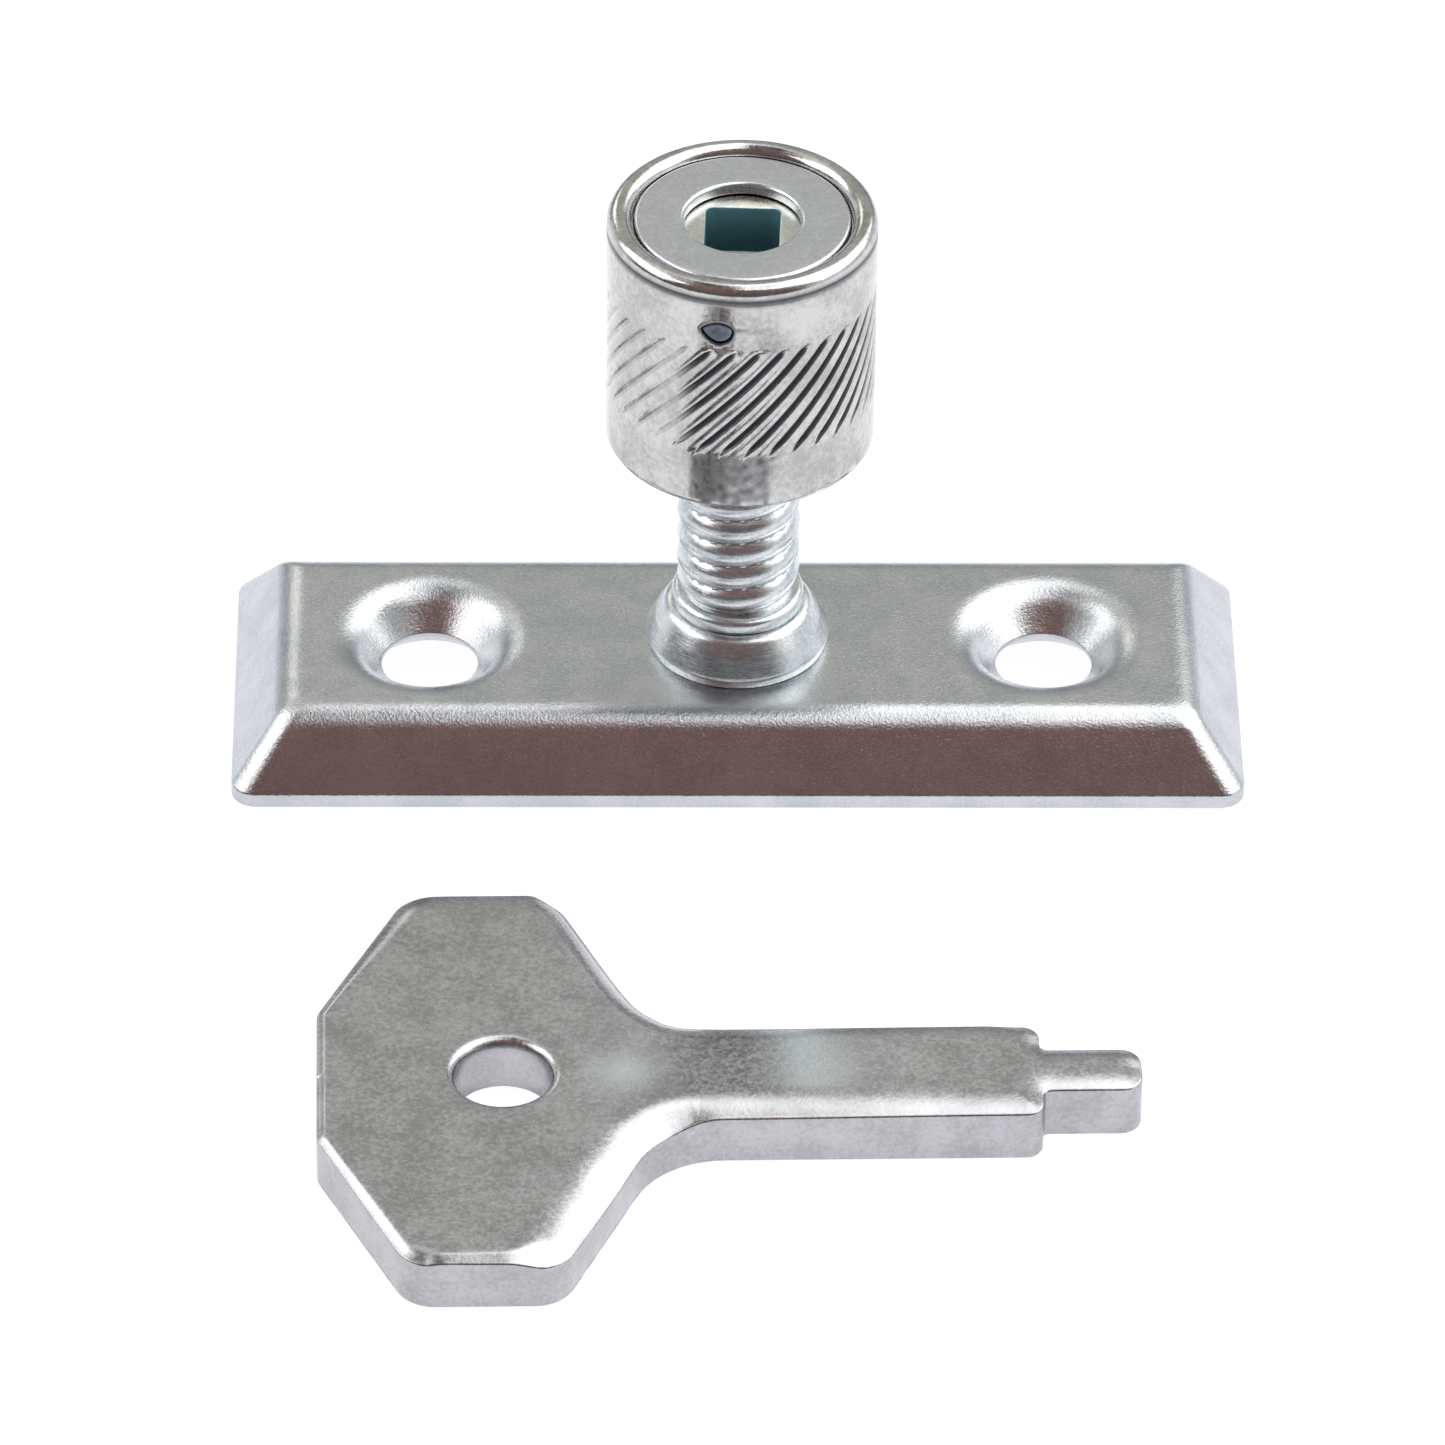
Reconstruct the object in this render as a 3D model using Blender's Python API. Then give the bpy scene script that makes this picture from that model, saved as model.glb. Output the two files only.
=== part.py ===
"""Lockable casement stay peg with its key: a pressed base plate, a threaded peg riveted through it, a knurled
barrel that spins freely round a key-driven lock nut, and the loose flat key lying in front.

Frame: the origin is on the peg's axis in the plane of the plate's foot. +Z goes up the peg, +X along the plate.
"""

import math

import bmesh
import bpy
from mathutils import Matrix, Vector

MM = 0.001

# Clearances
GAP = 0.3 * MM  # between pieces that touch in the real lock
RUNNING_GAP = 0.2 * MM  # between pieces that turn or slide on each other
THREAD_CLEARANCE = 0.2 * MM  # radial, between the stud's thread and the nut's
STUD_CLEARANCE = 0.45 * MM  # radial, where the stud passes through the barrel's floor
SOCKET_CLEARANCE = 0.4 * MM  # across the flats, between the key's tip and the nut's socket

# Base plate, pressed from sheet and open underneath
PLATE_LENGTH = 54.0 * MM
PLATE_WIDTH = 19.3 * MM
PLATE_HEIGHT = 4.3 * MM
SHEET_THICKNESS = 1.5 * MM
PLATE_EDGE_HEIGHT = 0.85 * MM
PLATE_CORNER_RADIUS = 1.3 * MM
PLATE_FOOT_WIDTH = 1.2 * MM
SKIRT_INSET = 2.78 * MM
BEND_RADIUS = 2.1 * MM
SCREW_INSET = 10.5 * MM  # from the plate's end to the hole's centre
SCREW_HOLE_RADIUS = 2.59 * MM
DIMPLE_RADIUS = 5.0 * MM
DIMPLE_DEPTH = 1.85 * MM

# Threaded peg, turned in one piece and riveted over under the plate
STUD_RADIUS = 3.28 * MM
STUD_LENGTH = 17.5 * MM  # from the plate's top face to the stud's end
STUD_CHAMFER = 0.5 * MM
THREAD_PITCH = 1.5 * MM
THREAD_DEPTH = 0.42 * MM
THREAD_START = 0.57  # of a turn, from +X round to where the thread's root crosses the plate's foot
THREAD_ENGAGED = 2.0 * MM  # of the stud, inside the nut as the lock is stored
RING_STEP = 0.27 * MM  # from the thread's crest out to the ring
RING_HEIGHT = 0.9 * MM
SHOULDER_STEP = 0.25 * MM  # from the ring out to the flange's top
FLANGE_FLARE = 1.13 * MM  # from the flange's top out to its rim
FLANGE_HEIGHT = 2.55 * MM
FLANGE_RIM_HEIGHT = 0.55 * MM
NECK_LENGTH = 0.5 * MM
TENON_RADIUS = 2.7 * MM
RIVET_RADIUS = 4.3 * MM

# Barrel shell
BARREL_RADIUS = 7.11 * MM
BARREL_HEIGHT = 14.2 * MM
BARREL_WALL = 1.25 * MM
BARREL_FLOOR = 1.0 * MM
BARREL_EDGE_RADIUS = 0.6 * MM
RIM_WIDTH = 1.32 * MM
RIM_THICKNESS = 0.45 * MM
RIM_ROUNDING = 0.75 * MM
KNURL_GROOVES = 34
KNURL_DEPTH = 0.22 * MM
KNURL_START = 3.38 * MM  # above the barrel's underside
KNURL_HEIGHT = 6.85 * MM
KNURL_LEAN = math.radians(42.3)  # of a groove from the barrel's axis

# Cover disc, held under the barrel's rolled rim
DISC_THICKNESS = 0.45 * MM
DISC_CROWN = 0.4 * MM  # of the disc's middle above its edge
DISC_HOLE_CLEARANCE = 0.64 * MM  # round the corners of the key's tip
DISC_OVERLAP = 0.3 * MM  # of the rolled rim over the disc's edge

# Lock nut
NUT_NECK_STEP = 1.2 * MM  # from the nut's body in to its neck
SOCKET_TURN = math.radians(-2.5)

# Retaining pin, through the barrel's wall and over the nut's shoulder
PIN_RADIUS = 0.75 * MM
PIN_BELOW_RIM = 2.72 * MM
PIN_BEARING = math.radians(-101)

# Wave washer under the nut
WASHER_THICKNESS = 0.35 * MM
WASHER_WAVE = 0.3 * MM
WASHER_WAVES = 3

# Key, stamped from flat bar
KEY_THICKNESS = 3.1 * MM
KEY_HOLE_RADIUS = 2.5 * MM
BOW_LENGTH = 29.85 * MM  # across the key
BOW_WIDTH = 17.0 * MM  # along the key
BOW_SIDE = 10.0 * MM  # length of the bow's end flat
BOW_CHAMFER = 4.6 * MM  # along the key
BOW_TO_HOLE = 9.55 * MM  # from the bow's end to the hole's centre
BOW_CORNER_RADIUS = 1.2 * MM
SHANK_WIDTH = 7.2 * MM
SHANK_REACH = 27.65 * MM  # from the hole's centre to the shoulder
SHANK_FILLET_RADIUS = 5.0 * MM
SHANK_CORNER_RADIUS = 0.9 * MM
TIP_WIDTH = 3.45 * MM
TIP_LENGTH = 5.15 * MM
TIP_CORNER_RADIUS = 1.1 * MM
TIP_ROOT_RADIUS = 0.4 * MM
KEY_EDGE_ROLL = 0.45 * MM
KEY_SPACING = 11.0 * MM  # from the plate's front edge to the key
KEY_SHIFT = 12.4 * MM  # of the key's hole to the left of the peg
KEY_TURN = math.radians(0.95)

# How finely round shapes are cut
FINE_STEPS = 2 * KNURL_GROOVES
THREAD_STEPS = 28
HOLE_STEPS = 28
RINGS_PER_PITCH = 6
CORNER_STEPS = 4

# Heights above the foot of the plate
SHEET_UNDERSIDE = PLATE_HEIGHT - SHEET_THICKNESS
FLANGE_BASE = PLATE_HEIGHT + GAP
SHOULDER_HEIGHT = PLATE_HEIGHT + FLANGE_HEIGHT
RING_TOP = SHOULDER_HEIGHT + RING_HEIGHT
STUD_TOP = PLATE_HEIGHT + STUD_LENGTH
STUD_ROOT = STUD_RADIUS - THREAD_DEPTH
RING_RADIUS = STUD_RADIUS + RING_STEP
SHOULDER_RADIUS = RING_RADIUS + SHOULDER_STEP
FLANGE_RADIUS = SHOULDER_RADIUS + FLANGE_FLARE

# Heights above the barrel's underside
NUT_BOTTOM = BARREL_FLOOR + WASHER_THICKNESS + WASHER_WAVE + 2 * RUNNING_GAP
RIM_UNDERSIDE = BARREL_HEIGHT - RIM_THICKNESS
DISC_EDGE_TOP = RIM_UNDERSIDE - GAP
DISC_EDGE_BOTTOM = DISC_EDGE_TOP - DISC_THICKNESS
DISC_LEDGE = DISC_EDGE_BOTTOM - GAP
DISC_TOP = DISC_EDGE_TOP + DISC_CROWN
DISC_BOTTOM = DISC_TOP - DISC_THICKNESS
NUT_TOP = DISC_BOTTOM - GAP
PIN_HEIGHT = BARREL_HEIGHT - PIN_BELOW_RIM
NUT_SHOULDER = PIN_HEIGHT - PIN_RADIUS - RUNNING_GAP
NUT_WEB_BOTTOM = DISC_TOP - TIP_LENGTH
BARREL_LIFT = STUD_TOP - THREAD_ENGAGED - NUT_BOTTOM

BARREL_BORE = BARREL_RADIUS - BARREL_WALL
RIM_OPENING_RADIUS = BARREL_RADIUS - RIM_WIDTH
DISC_RADIUS = RIM_OPENING_RADIUS + DISC_OVERLAP
DISC_HOLE_RADIUS = TIP_WIDTH / math.sqrt(2) + DISC_HOLE_CLEARANCE
NUT_RADIUS = BARREL_BORE - RUNNING_GAP
NUT_NECK_RADIUS = NUT_RADIUS - NUT_NECK_STEP


def clear_scene():
    for obj in list(bpy.data.objects):
        bpy.data.objects.remove(obj)


def plated_steel(name, colour, roughness):
    """Zinc-plated steel."""
    material = bpy.data.materials.new(name)
    material.use_nodes = True
    shader = material.node_tree.nodes["Principled BSDF"]
    shader.inputs["Base Color"].default_value = (*colour, 1)
    shader.inputs["Metallic"].default_value = 1
    shader.inputs["Roughness"].default_value = roughness
    return material


def add_object(name, bm, material=None, parent=None):
    """The finished mesh as an object. Without a material it's a cutter, which is hidden in renders."""
    bmesh.ops.recalc_face_normals(bm, faces=bm.faces)
    mesh = bpy.data.meshes.new(name)
    bm.to_mesh(mesh)
    bm.free()
    mesh.shade_smooth()
    mesh.set_sharp_from_angle(angle=math.radians(35))
    obj = bpy.data.objects.new(name, mesh)
    obj.parent = parent
    bpy.context.scene.collection.objects.link(obj)
    if material:
        mesh.materials.append(material)
    else:
        obj.hide_render = True
        obj.display_type = "WIRE"
    return obj


def cut(obj, cutter):
    modifier = obj.modifiers.new(cutter.name, "BOOLEAN")
    modifier.operation = "DIFFERENCE"
    modifier.object = cutter


def turned(profile, steps):
    """Spins (radius, height) points about Z. Points that start and end on the axis make a solid piece, and
    others close into a ring."""
    bm = bmesh.new()
    points = [bm.verts.new((radius, 0, height)) for radius, height in profile]
    edges = [bm.edges.new(pair) for pair in zip(points, points[1:])]
    if profile[0][0] > 0:
        edges.append(bm.edges.new((points[-1], points[0])))
    full_turn = {"cent": (0, 0, 0), "axis": (0, 0, 1), "angle": 2 * math.pi}
    bmesh.ops.spin(bm, geom=points + edges, steps=steps, use_merge=True, **full_turn)
    bmesh.ops.remove_doubles(bm, verts=bm.verts, dist=0.001 * MM)
    return bm


def arc(centre, radius, start, end, steps):
    """Points on an arc between two angles in degrees, both ends included."""
    angles = [math.radians(start + (end - start) * step / steps) for step in range(steps + 1)]
    return [(centre[0] + radius * math.cos(a), centre[1] + radius * math.sin(a)) for a in angles]


def levels_between(start, end, spacing):
    """Evenly spaced heights from start to end, both included, at most the spacing apart."""
    count = max(1, math.ceil((end - start) / spacing))
    return [start + (end - start) * step / count for step in range(count + 1)]


def thread_wave(angle, height):
    """A right-hand thread's form at an angle and a height above the plate's foot: 0 in its root, 1 on its
    crest, with rounded crests and narrow roots."""
    turn = height / THREAD_PITCH - angle / (2 * math.pi) - THREAD_START
    return abs(math.sin(math.pi * turn))


def set_radius(vert, radius):
    scale = radius / vert.co.xy.length
    vert.co.x *= scale
    vert.co.y *= scale


def rounded_outline(corners):
    """An outline in XY from (x, y, radius) corners, each rounded by an arc."""
    outline = []
    for index, (x, y, radius) in enumerate(corners):
        corner = Vector((x, y))
        before = Vector(corners[index - 1][:2]) - corner
        after = Vector(corners[(index + 1) % len(corners)][:2]) - corner
        half_angle = before.angle(after) / 2
        to_centre = (before.normalized() + after.normalized()).normalized()
        centre = corner + to_centre * radius / math.sin(half_angle)
        start = corner + before.normalized() * radius / math.tan(half_angle) - centre
        end = corner + after.normalized() * radius / math.tan(half_angle) - centre
        sweep = start.angle_signed(end)
        for step in range(CORNER_STEPS + 1):
            turn = Matrix.Rotation(-sweep * step / CORNER_STEPS, 2)
            outline.append(centre + turn @ start)
    return outline


def rectangle(length, width, radius):
    half = (length / 2, width / 2)
    signs = ((1, 1), (-1, 1), (-1, -1), (1, -1))
    return rounded_outline([(x * half[0], y * half[1], radius) for x, y in signs])


def lofted(sections):
    """A closed solid through (outline, height) sections that all have as many points."""
    bm = bmesh.new()
    loops = [[bm.verts.new((*point, height)) for point in outline] for outline, height in sections]
    for lower, upper in zip(loops, loops[1:]):
        for index in range(len(lower)):
            bm.faces.new((lower[index - 1], lower[index], upper[index], upper[index - 1]))
    bm.faces.new(loops[0][::-1])
    bm.faces.new(loops[-1])
    return bm


def plate_section(inset, height):
    radius = max(PLATE_CORNER_RADIUS - inset / 2, PLATE_CORNER_RADIUS / 4)
    return rectangle(PLATE_LENGTH - 2 * inset, PLATE_WIDTH - 2 * inset, radius), height


def base_plate():
    """A pressed plate: sloping skirts bent down round a flat top, a hollow underside, and two screw holes,
    each in a pressed dimple."""
    slope = math.atan2(PLATE_HEIGHT - PLATE_EDGE_HEIGHT, SKIRT_INSET)
    bend_centre = (SKIRT_INSET + BEND_RADIUS * math.tan(slope / 2), PLATE_HEIGHT - BEND_RADIUS)
    bend = arc(bend_centre, BEND_RADIUS, 90 + math.degrees(slope), 90, 4)
    skirt = [plate_section(0, 0), plate_section(0, PLATE_EDGE_HEIGHT)]
    plate = add_object(
        "base_plate",
        lofted(skirt + [plate_section(*point) for point in bend]),
        plated_steel("plate_zinc", (0.36, 0.36, 0.35), 0.42),
    )

    underside_inset = SKIRT_INSET + SHEET_THICKNESS * math.tan(slope / 2)
    hollow_levels = ((PLATE_FOOT_WIDTH, -SHEET_THICKNESS), (PLATE_FOOT_WIDTH, 0), (underside_inset, SHEET_UNDERSIDE))
    hollow = add_object("underside_cutter", lofted([plate_section(*level) for level in hollow_levels]))
    cut(plate, hollow)

    rim = PLATE_HEIGHT - DIMPLE_DEPTH
    fall = [step / 4 for step in range(5)]
    dimple = [
        (DIMPLE_RADIUS + (SCREW_HOLE_RADIUS - DIMPLE_RADIUS) * f, PLATE_HEIGHT - DIMPLE_DEPTH * f**2) for f in fall
    ]
    above, below = PLATE_HEIGHT + SHEET_THICKNESS, -SHEET_THICKNESS
    hole_profile = [(0, above), (DIMPLE_RADIUS, above), *dimple, (SCREW_HOLE_RADIUS, below), (0, below)]
    boss_profile = [
        (0, above),
        (DIMPLE_RADIUS + SHEET_THICKNESS / 2, above),
        (DIMPLE_RADIUS + SHEET_THICKNESS / 2, SHEET_UNDERSIDE),
        (SCREW_HOLE_RADIUS + SHEET_THICKNESS / 3, rim - SHEET_THICKNESS),
        (0, rim - SHEET_THICKNESS),
    ]
    screw_x = PLATE_LENGTH / 2 - SCREW_INSET
    for side, x in (("left", -screw_x), ("right", screw_x)):
        boss = add_object(f"{side}_boss_cutter", turned(boss_profile, HOLE_STEPS))
        hole = add_object(f"{side}_screw_cutter", turned(hole_profile, HOLE_STEPS))
        boss.location.x = hole.location.x = x
        cut(hollow, boss)
        cut(plate, hole)

    tenon_hole = TENON_RADIUS + GAP
    peg_hole = add_object(
        "peg_cutter", turned([(0, above), (tenon_hole, above), (tenon_hole, below), (0, below)], HOLE_STEPS)
    )
    cut(plate, peg_hole)


def threaded_peg():
    """The peg: a riveted head under the plate, a tenon through it, the flange, the ring that the stay's arm
    sits on, and the threaded stud."""
    thread_start = RING_TOP + NECK_LENGTH
    thread_end = STUD_TOP - STUD_CHAMFER
    rings = levels_between(thread_start, thread_end, THREAD_PITCH / RINGS_PER_PITCH)
    rounding = FLANGE_RIM_HEIGHT / 2
    flange_rim = arc((FLANGE_RADIUS - rounding, FLANGE_BASE + rounding), rounding, -60, 60, 4)
    ring_edge = arc((RING_RADIUS - rounding, RING_TOP - rounding), rounding, 0, 90, 3)
    profile = [
        (0, 0),
        (RIVET_RADIUS, 0),
        (RIVET_RADIUS, SHEET_UNDERSIDE - GAP),
        (TENON_RADIUS, SHEET_UNDERSIDE - GAP),
        (TENON_RADIUS, FLANGE_BASE),
        (FLANGE_RADIUS - 2 * rounding, FLANGE_BASE),
        *flange_rim,
        (SHOULDER_RADIUS, SHOULDER_HEIGHT - rounding),
        (RING_RADIUS, SHOULDER_HEIGHT),
        *ring_edge,
        (STUD_ROOT, RING_TOP),
        *[(STUD_RADIUS, height) for height in rings],
        (STUD_ROOT - THREAD_DEPTH / 2, STUD_TOP),
        (0, STUD_TOP),
    ]
    bm = turned(profile, THREAD_STEPS)
    for vert in bm.verts:
        height = vert.co.z
        if height < thread_start - GAP / 10 or height > thread_end + GAP / 10:
            continue
        runout = min(1, (height - thread_start) / THREAD_PITCH, 2 * (thread_end - height) / THREAD_PITCH)
        wave = thread_wave(math.atan2(vert.co.y, vert.co.x), height)
        set_radius(vert, STUD_ROOT + THREAD_DEPTH * wave * max(runout, 0))
    add_object("threaded_peg", bm, plated_steel("peg_zinc", (0.55, 0.57, 0.58), 0.28))


def barrel_shell(barrel):
    """The knurled cup that turns freely round the nut, with the rolled rim that holds the cover disc."""
    floor_hole = STUD_RADIUS + STUD_CLEARANCE
    bottom_edge = arc(
        (BARREL_RADIUS - BARREL_EDGE_RADIUS, BARREL_EDGE_RADIUS), BARREL_EDGE_RADIUS, -90, 0, CORNER_STEPS
    )
    top_edge = arc((BARREL_RADIUS - RIM_ROUNDING, BARREL_HEIGHT - RIM_ROUNDING), RIM_ROUNDING, 0, 90, CORNER_STEPS)
    knurl_end = KNURL_START + KNURL_HEIGHT
    grooved = levels_between(KNURL_START, knurl_end, KNURL_HEIGHT / 4)
    profile = [
        (floor_hole, 0),
        *bottom_edge,
        (BARREL_RADIUS, KNURL_START - KNURL_DEPTH),
        *[(BARREL_RADIUS, height) for height in grooved],
        (BARREL_RADIUS, knurl_end + KNURL_DEPTH),
        *top_edge,
        (RIM_OPENING_RADIUS, BARREL_HEIGHT),
        (RIM_OPENING_RADIUS, RIM_UNDERSIDE),
        (DISC_RADIUS + RUNNING_GAP, RIM_UNDERSIDE),
        (DISC_RADIUS + RUNNING_GAP, DISC_LEDGE),
        (BARREL_BORE, DISC_LEDGE),
        (BARREL_BORE, BARREL_FLOOR),
        (floor_hole, BARREL_FLOOR),
    ]
    bm = turned(profile, FINE_STEPS)
    on_outside = BARREL_RADIUS - KNURL_DEPTH
    for vert in bm.verts:
        height = vert.co.z
        if not (KNURL_START - GAP / 10 < height < knurl_end + GAP / 10 and vert.co.xy.length > on_outside):
            continue
        column = round(math.atan2(vert.co.y, vert.co.x) * FINE_STEPS / (2 * math.pi))
        if column % 2:
            set_radius(vert, BARREL_RADIUS - KNURL_DEPTH)
        twist = (height - KNURL_START) * math.tan(KNURL_LEAN) / BARREL_RADIUS
        vert.co.xy = Matrix.Rotation(twist, 2) @ vert.co.xy
    shell = add_object("barrel_shell", bm, plated_steel("barrel_zinc", (0.62, 0.62, 0.66), 0.35), barrel)

    hole_radius = PIN_RADIUS + RUNNING_GAP
    pin_hole = add_object("pin_cutter", rod(hole_radius, BARREL_BORE - BARREL_WALL, BARREL_RADIUS + BARREL_WALL))
    pin_hole.parent = barrel
    place_pin(pin_hole)
    cut(shell, pin_hole)


def rod(radius, start, end):
    """A round rod along +X between two distances from the axis."""
    bm = turned([(0, start), (radius, start), (radius, end), (0, end)], HOLE_STEPS // 2)
    bmesh.ops.rotate(bm, verts=bm.verts, cent=(0, 0, 0), matrix=Matrix.Rotation(math.radians(90), 3, "Y"))
    return bm


def place_pin(obj):
    obj.location.z = PIN_HEIGHT
    obj.rotation_euler.z = PIN_BEARING


def retaining_pin(barrel):
    inner_end = NUT_NECK_RADIUS + RUNNING_GAP
    outer_end = BARREL_RADIUS - RUNNING_GAP / 2
    pin = add_object(
        "retaining_pin",
        rod(PIN_RADIUS, inner_end, outer_end),
        plated_steel("pin_steel", (0.30, 0.31, 0.36), 0.4),
        barrel,
    )
    place_pin(pin)


def cover_disc(barrel):
    """The thin guard under the rim, raised in the middle. Its round hole lets in only the right key."""
    crown_radius = RIM_OPENING_RADIUS - RUNNING_GAP
    profile = [
        (DISC_HOLE_RADIUS, DISC_BOTTOM),
        (crown_radius - DISC_THICKNESS, DISC_BOTTOM),
        (crown_radius - DISC_THICKNESS, DISC_EDGE_BOTTOM),
        (DISC_RADIUS, DISC_EDGE_BOTTOM),
        (DISC_RADIUS, DISC_EDGE_TOP),
        (crown_radius, DISC_EDGE_TOP),
        (crown_radius, DISC_TOP),
        (DISC_HOLE_RADIUS, DISC_TOP),
    ]
    material = plated_steel("disc_zinc", (0.33, 0.32, 0.30), 0.38)
    add_object("cover_disc", turned(profile, FINE_STEPS // 2), material, barrel)


def lock_nut(barrel):
    """The nut that the key turns: threaded from below, with a square socket through its top web."""
    entry = STUD_RADIUS + THREAD_CLEARANCE
    rings = levels_between(NUT_BOTTOM, NUT_WEB_BOTTOM, THREAD_PITCH / RINGS_PER_PITCH)
    profile = [
        (NUT_RADIUS, NUT_BOTTOM),
        (NUT_RADIUS, NUT_SHOULDER),
        (NUT_NECK_RADIUS, NUT_SHOULDER),
        (NUT_NECK_RADIUS, NUT_TOP),
        (0, NUT_TOP),
    ]
    bore = [(entry, height) for height in rings]
    bm = turned([(0, NUT_WEB_BOTTOM), *bore[::-1], *profile], THREAD_STEPS)
    for vert in bm.verts:
        height = vert.co.z
        in_bore = 0 < vert.co.xy.length < entry + GAP / 10
        if not in_bore or height > NUT_WEB_BOTTOM + GAP / 10:
            continue
        runout = min(1, 2 * (height - NUT_BOTTOM) / THREAD_PITCH, (NUT_WEB_BOTTOM - height) / THREAD_PITCH)
        wave = thread_wave(math.atan2(vert.co.y, vert.co.x), height + BARREL_LIFT)
        ridge = (1 - wave) * max(runout, 0)
        set_radius(vert, entry - THREAD_DEPTH * ridge)
    nut = add_object("lock_nut", bm, plated_steel("nut_zinc", (0.28, 0.32, 0.34), 0.4), barrel)

    flats = TIP_WIDTH + SOCKET_CLEARANCE
    square = rectangle(flats, flats, SOCKET_CLEARANCE / 2)
    socket = add_object("socket_cutter", lofted([(square, NUT_WEB_BOTTOM - GAP), (square, NUT_TOP + GAP)]))
    socket.parent = barrel
    socket.rotation_euler.z = SOCKET_TURN
    cut(nut, socket)


def wave_washer(barrel):
    """The thin wavy spring between the nut and the barrel's floor. Its drag lets the barrel run the nut down
    by hand and then slip."""
    inner = STUD_RADIUS + STUD_CLEARANCE + GAP
    outer = BARREL_BORE - GAP
    bottom = BARREL_FLOOR + RUNNING_GAP + WASHER_WAVE / 2
    top = bottom + WASHER_THICKNESS
    bm = turned([(inner, bottom), (outer, bottom), (outer, top), (inner, top)], 12 * WASHER_WAVES)
    for vert in bm.verts:
        angle = math.atan2(vert.co.y, vert.co.x)
        vert.co.z += WASHER_WAVE / 2 * math.cos(WASHER_WAVES * angle)
    add_object("wave_washer", bm, plated_steel("spring_steel", (0.35, 0.35, 0.36), 0.35), barrel)


def key_outline():
    """The key's plan: the octagonal bow on the left of its hole, then the shank and the square tip."""
    bow_end = -BOW_TO_HOLE
    bow_shank_side = bow_end + BOW_WIDTH
    chamfer_run = (BOW_LENGTH - BOW_SIDE) / 2
    slant_at_shank = bow_shank_side - (SHANK_WIDTH - BOW_SIDE) / 2 * BOW_CHAMFER / chamfer_run
    half = [
        (bow_end, BOW_SIDE / 2, BOW_CORNER_RADIUS),
        (bow_end + BOW_CHAMFER, BOW_LENGTH / 2, BOW_CORNER_RADIUS),
        (bow_shank_side - BOW_CHAMFER, BOW_LENGTH / 2, BOW_CORNER_RADIUS),
        (slant_at_shank, SHANK_WIDTH / 2, SHANK_FILLET_RADIUS),
        (SHANK_REACH, SHANK_WIDTH / 2, SHANK_CORNER_RADIUS),
        (SHANK_REACH, TIP_WIDTH / 2, TIP_ROOT_RADIUS),
        (SHANK_REACH + TIP_LENGTH, TIP_WIDTH / 2, TIP_CORNER_RADIUS),
    ]
    other_half = [(x, -y, radius) for x, y, radius in half[::-1]]
    return rounded_outline(half + other_half)


def key():
    bm = lofted([(key_outline(), 0), (key_outline(), KEY_THICKNESS)])
    top_edges = [edge for edge in bm.edges if all(vert.co.z > KEY_THICKNESS / 2 for vert in edge.verts)]
    bmesh.ops.bevel(bm, geom=top_edges, offset=KEY_EDGE_ROLL, segments=2, profile=0.5, affect="EDGES", material=-1)
    obj = add_object("key", bm, plated_steel("key_zinc", (0.36, 0.36, 0.34), 0.4))

    above, below = 2 * KEY_THICKNESS, -KEY_THICKNESS
    roll = arc(
        (KEY_HOLE_RADIUS + KEY_EDGE_ROLL, KEY_THICKNESS - KEY_EDGE_ROLL), KEY_EDGE_ROLL, 90, 180, 2
    )
    profile = [(0, above), (roll[0][0], above), *roll, (KEY_HOLE_RADIUS, below), (0, below)]
    hole = add_object("key_hole_cutter", turned(profile, HOLE_STEPS))
    hole.parent = obj
    cut(obj, hole)

    obj.location = (-KEY_SHIFT, -(PLATE_WIDTH / 2 + KEY_SPACING + BOW_LENGTH / 2), 0)
    obj.rotation_euler.z = KEY_TURN


def main():
    clear_scene()
    base_plate()
    threaded_peg()
    barrel = bpy.data.objects.new("barrel_axis", None)
    barrel.location.z = BARREL_LIFT
    bpy.context.scene.collection.objects.link(barrel)
    barrel_shell(barrel)
    cover_disc(barrel)
    retaining_pin(barrel)
    lock_nut(barrel)
    wave_washer(barrel)
    key()


main()
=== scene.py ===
"""Lockable casement stay peg with its key, in bright zinc: the looks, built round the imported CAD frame."""

import math

import bmesh
import bpy
from bpy.props import FloatProperty, FloatVectorProperty, IntProperty, PointerProperty
from bpy.types import Operator, Panel, PropertyGroup
from mathutils import Matrix, Vector, noise
from mathutils.kdtree import KDTree


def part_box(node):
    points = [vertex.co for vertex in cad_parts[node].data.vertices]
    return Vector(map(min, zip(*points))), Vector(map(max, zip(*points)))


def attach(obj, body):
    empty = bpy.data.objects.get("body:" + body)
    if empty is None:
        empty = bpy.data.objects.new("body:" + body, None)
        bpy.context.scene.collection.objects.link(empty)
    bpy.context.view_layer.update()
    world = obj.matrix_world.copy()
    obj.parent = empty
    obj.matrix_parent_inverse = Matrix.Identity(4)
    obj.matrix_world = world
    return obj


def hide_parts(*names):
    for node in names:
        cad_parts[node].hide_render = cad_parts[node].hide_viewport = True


bl_info = {
    "name": "Lockable stay peg",
    "version": (1, 0, 0),
    "blender": (4, 5, 0),
    "location": "3D View > Sidebar > Stay peg",
    "description": "Builds a zinc-plated lockable casement stay peg and its key",
    "category": "Object",
}

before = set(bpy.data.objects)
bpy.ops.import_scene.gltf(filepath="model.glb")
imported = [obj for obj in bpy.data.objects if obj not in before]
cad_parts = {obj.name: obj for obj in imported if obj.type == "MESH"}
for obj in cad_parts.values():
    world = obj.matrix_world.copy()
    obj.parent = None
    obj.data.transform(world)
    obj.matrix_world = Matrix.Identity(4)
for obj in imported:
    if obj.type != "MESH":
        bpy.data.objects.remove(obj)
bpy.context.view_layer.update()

MM = 0.001
MERGE = 0.002 * MM  # points closer than this are one
FULL_TURN = {"cent": (0, 0, 0), "axis": (0, 0, 1), "angle": 2 * math.pi}


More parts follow.
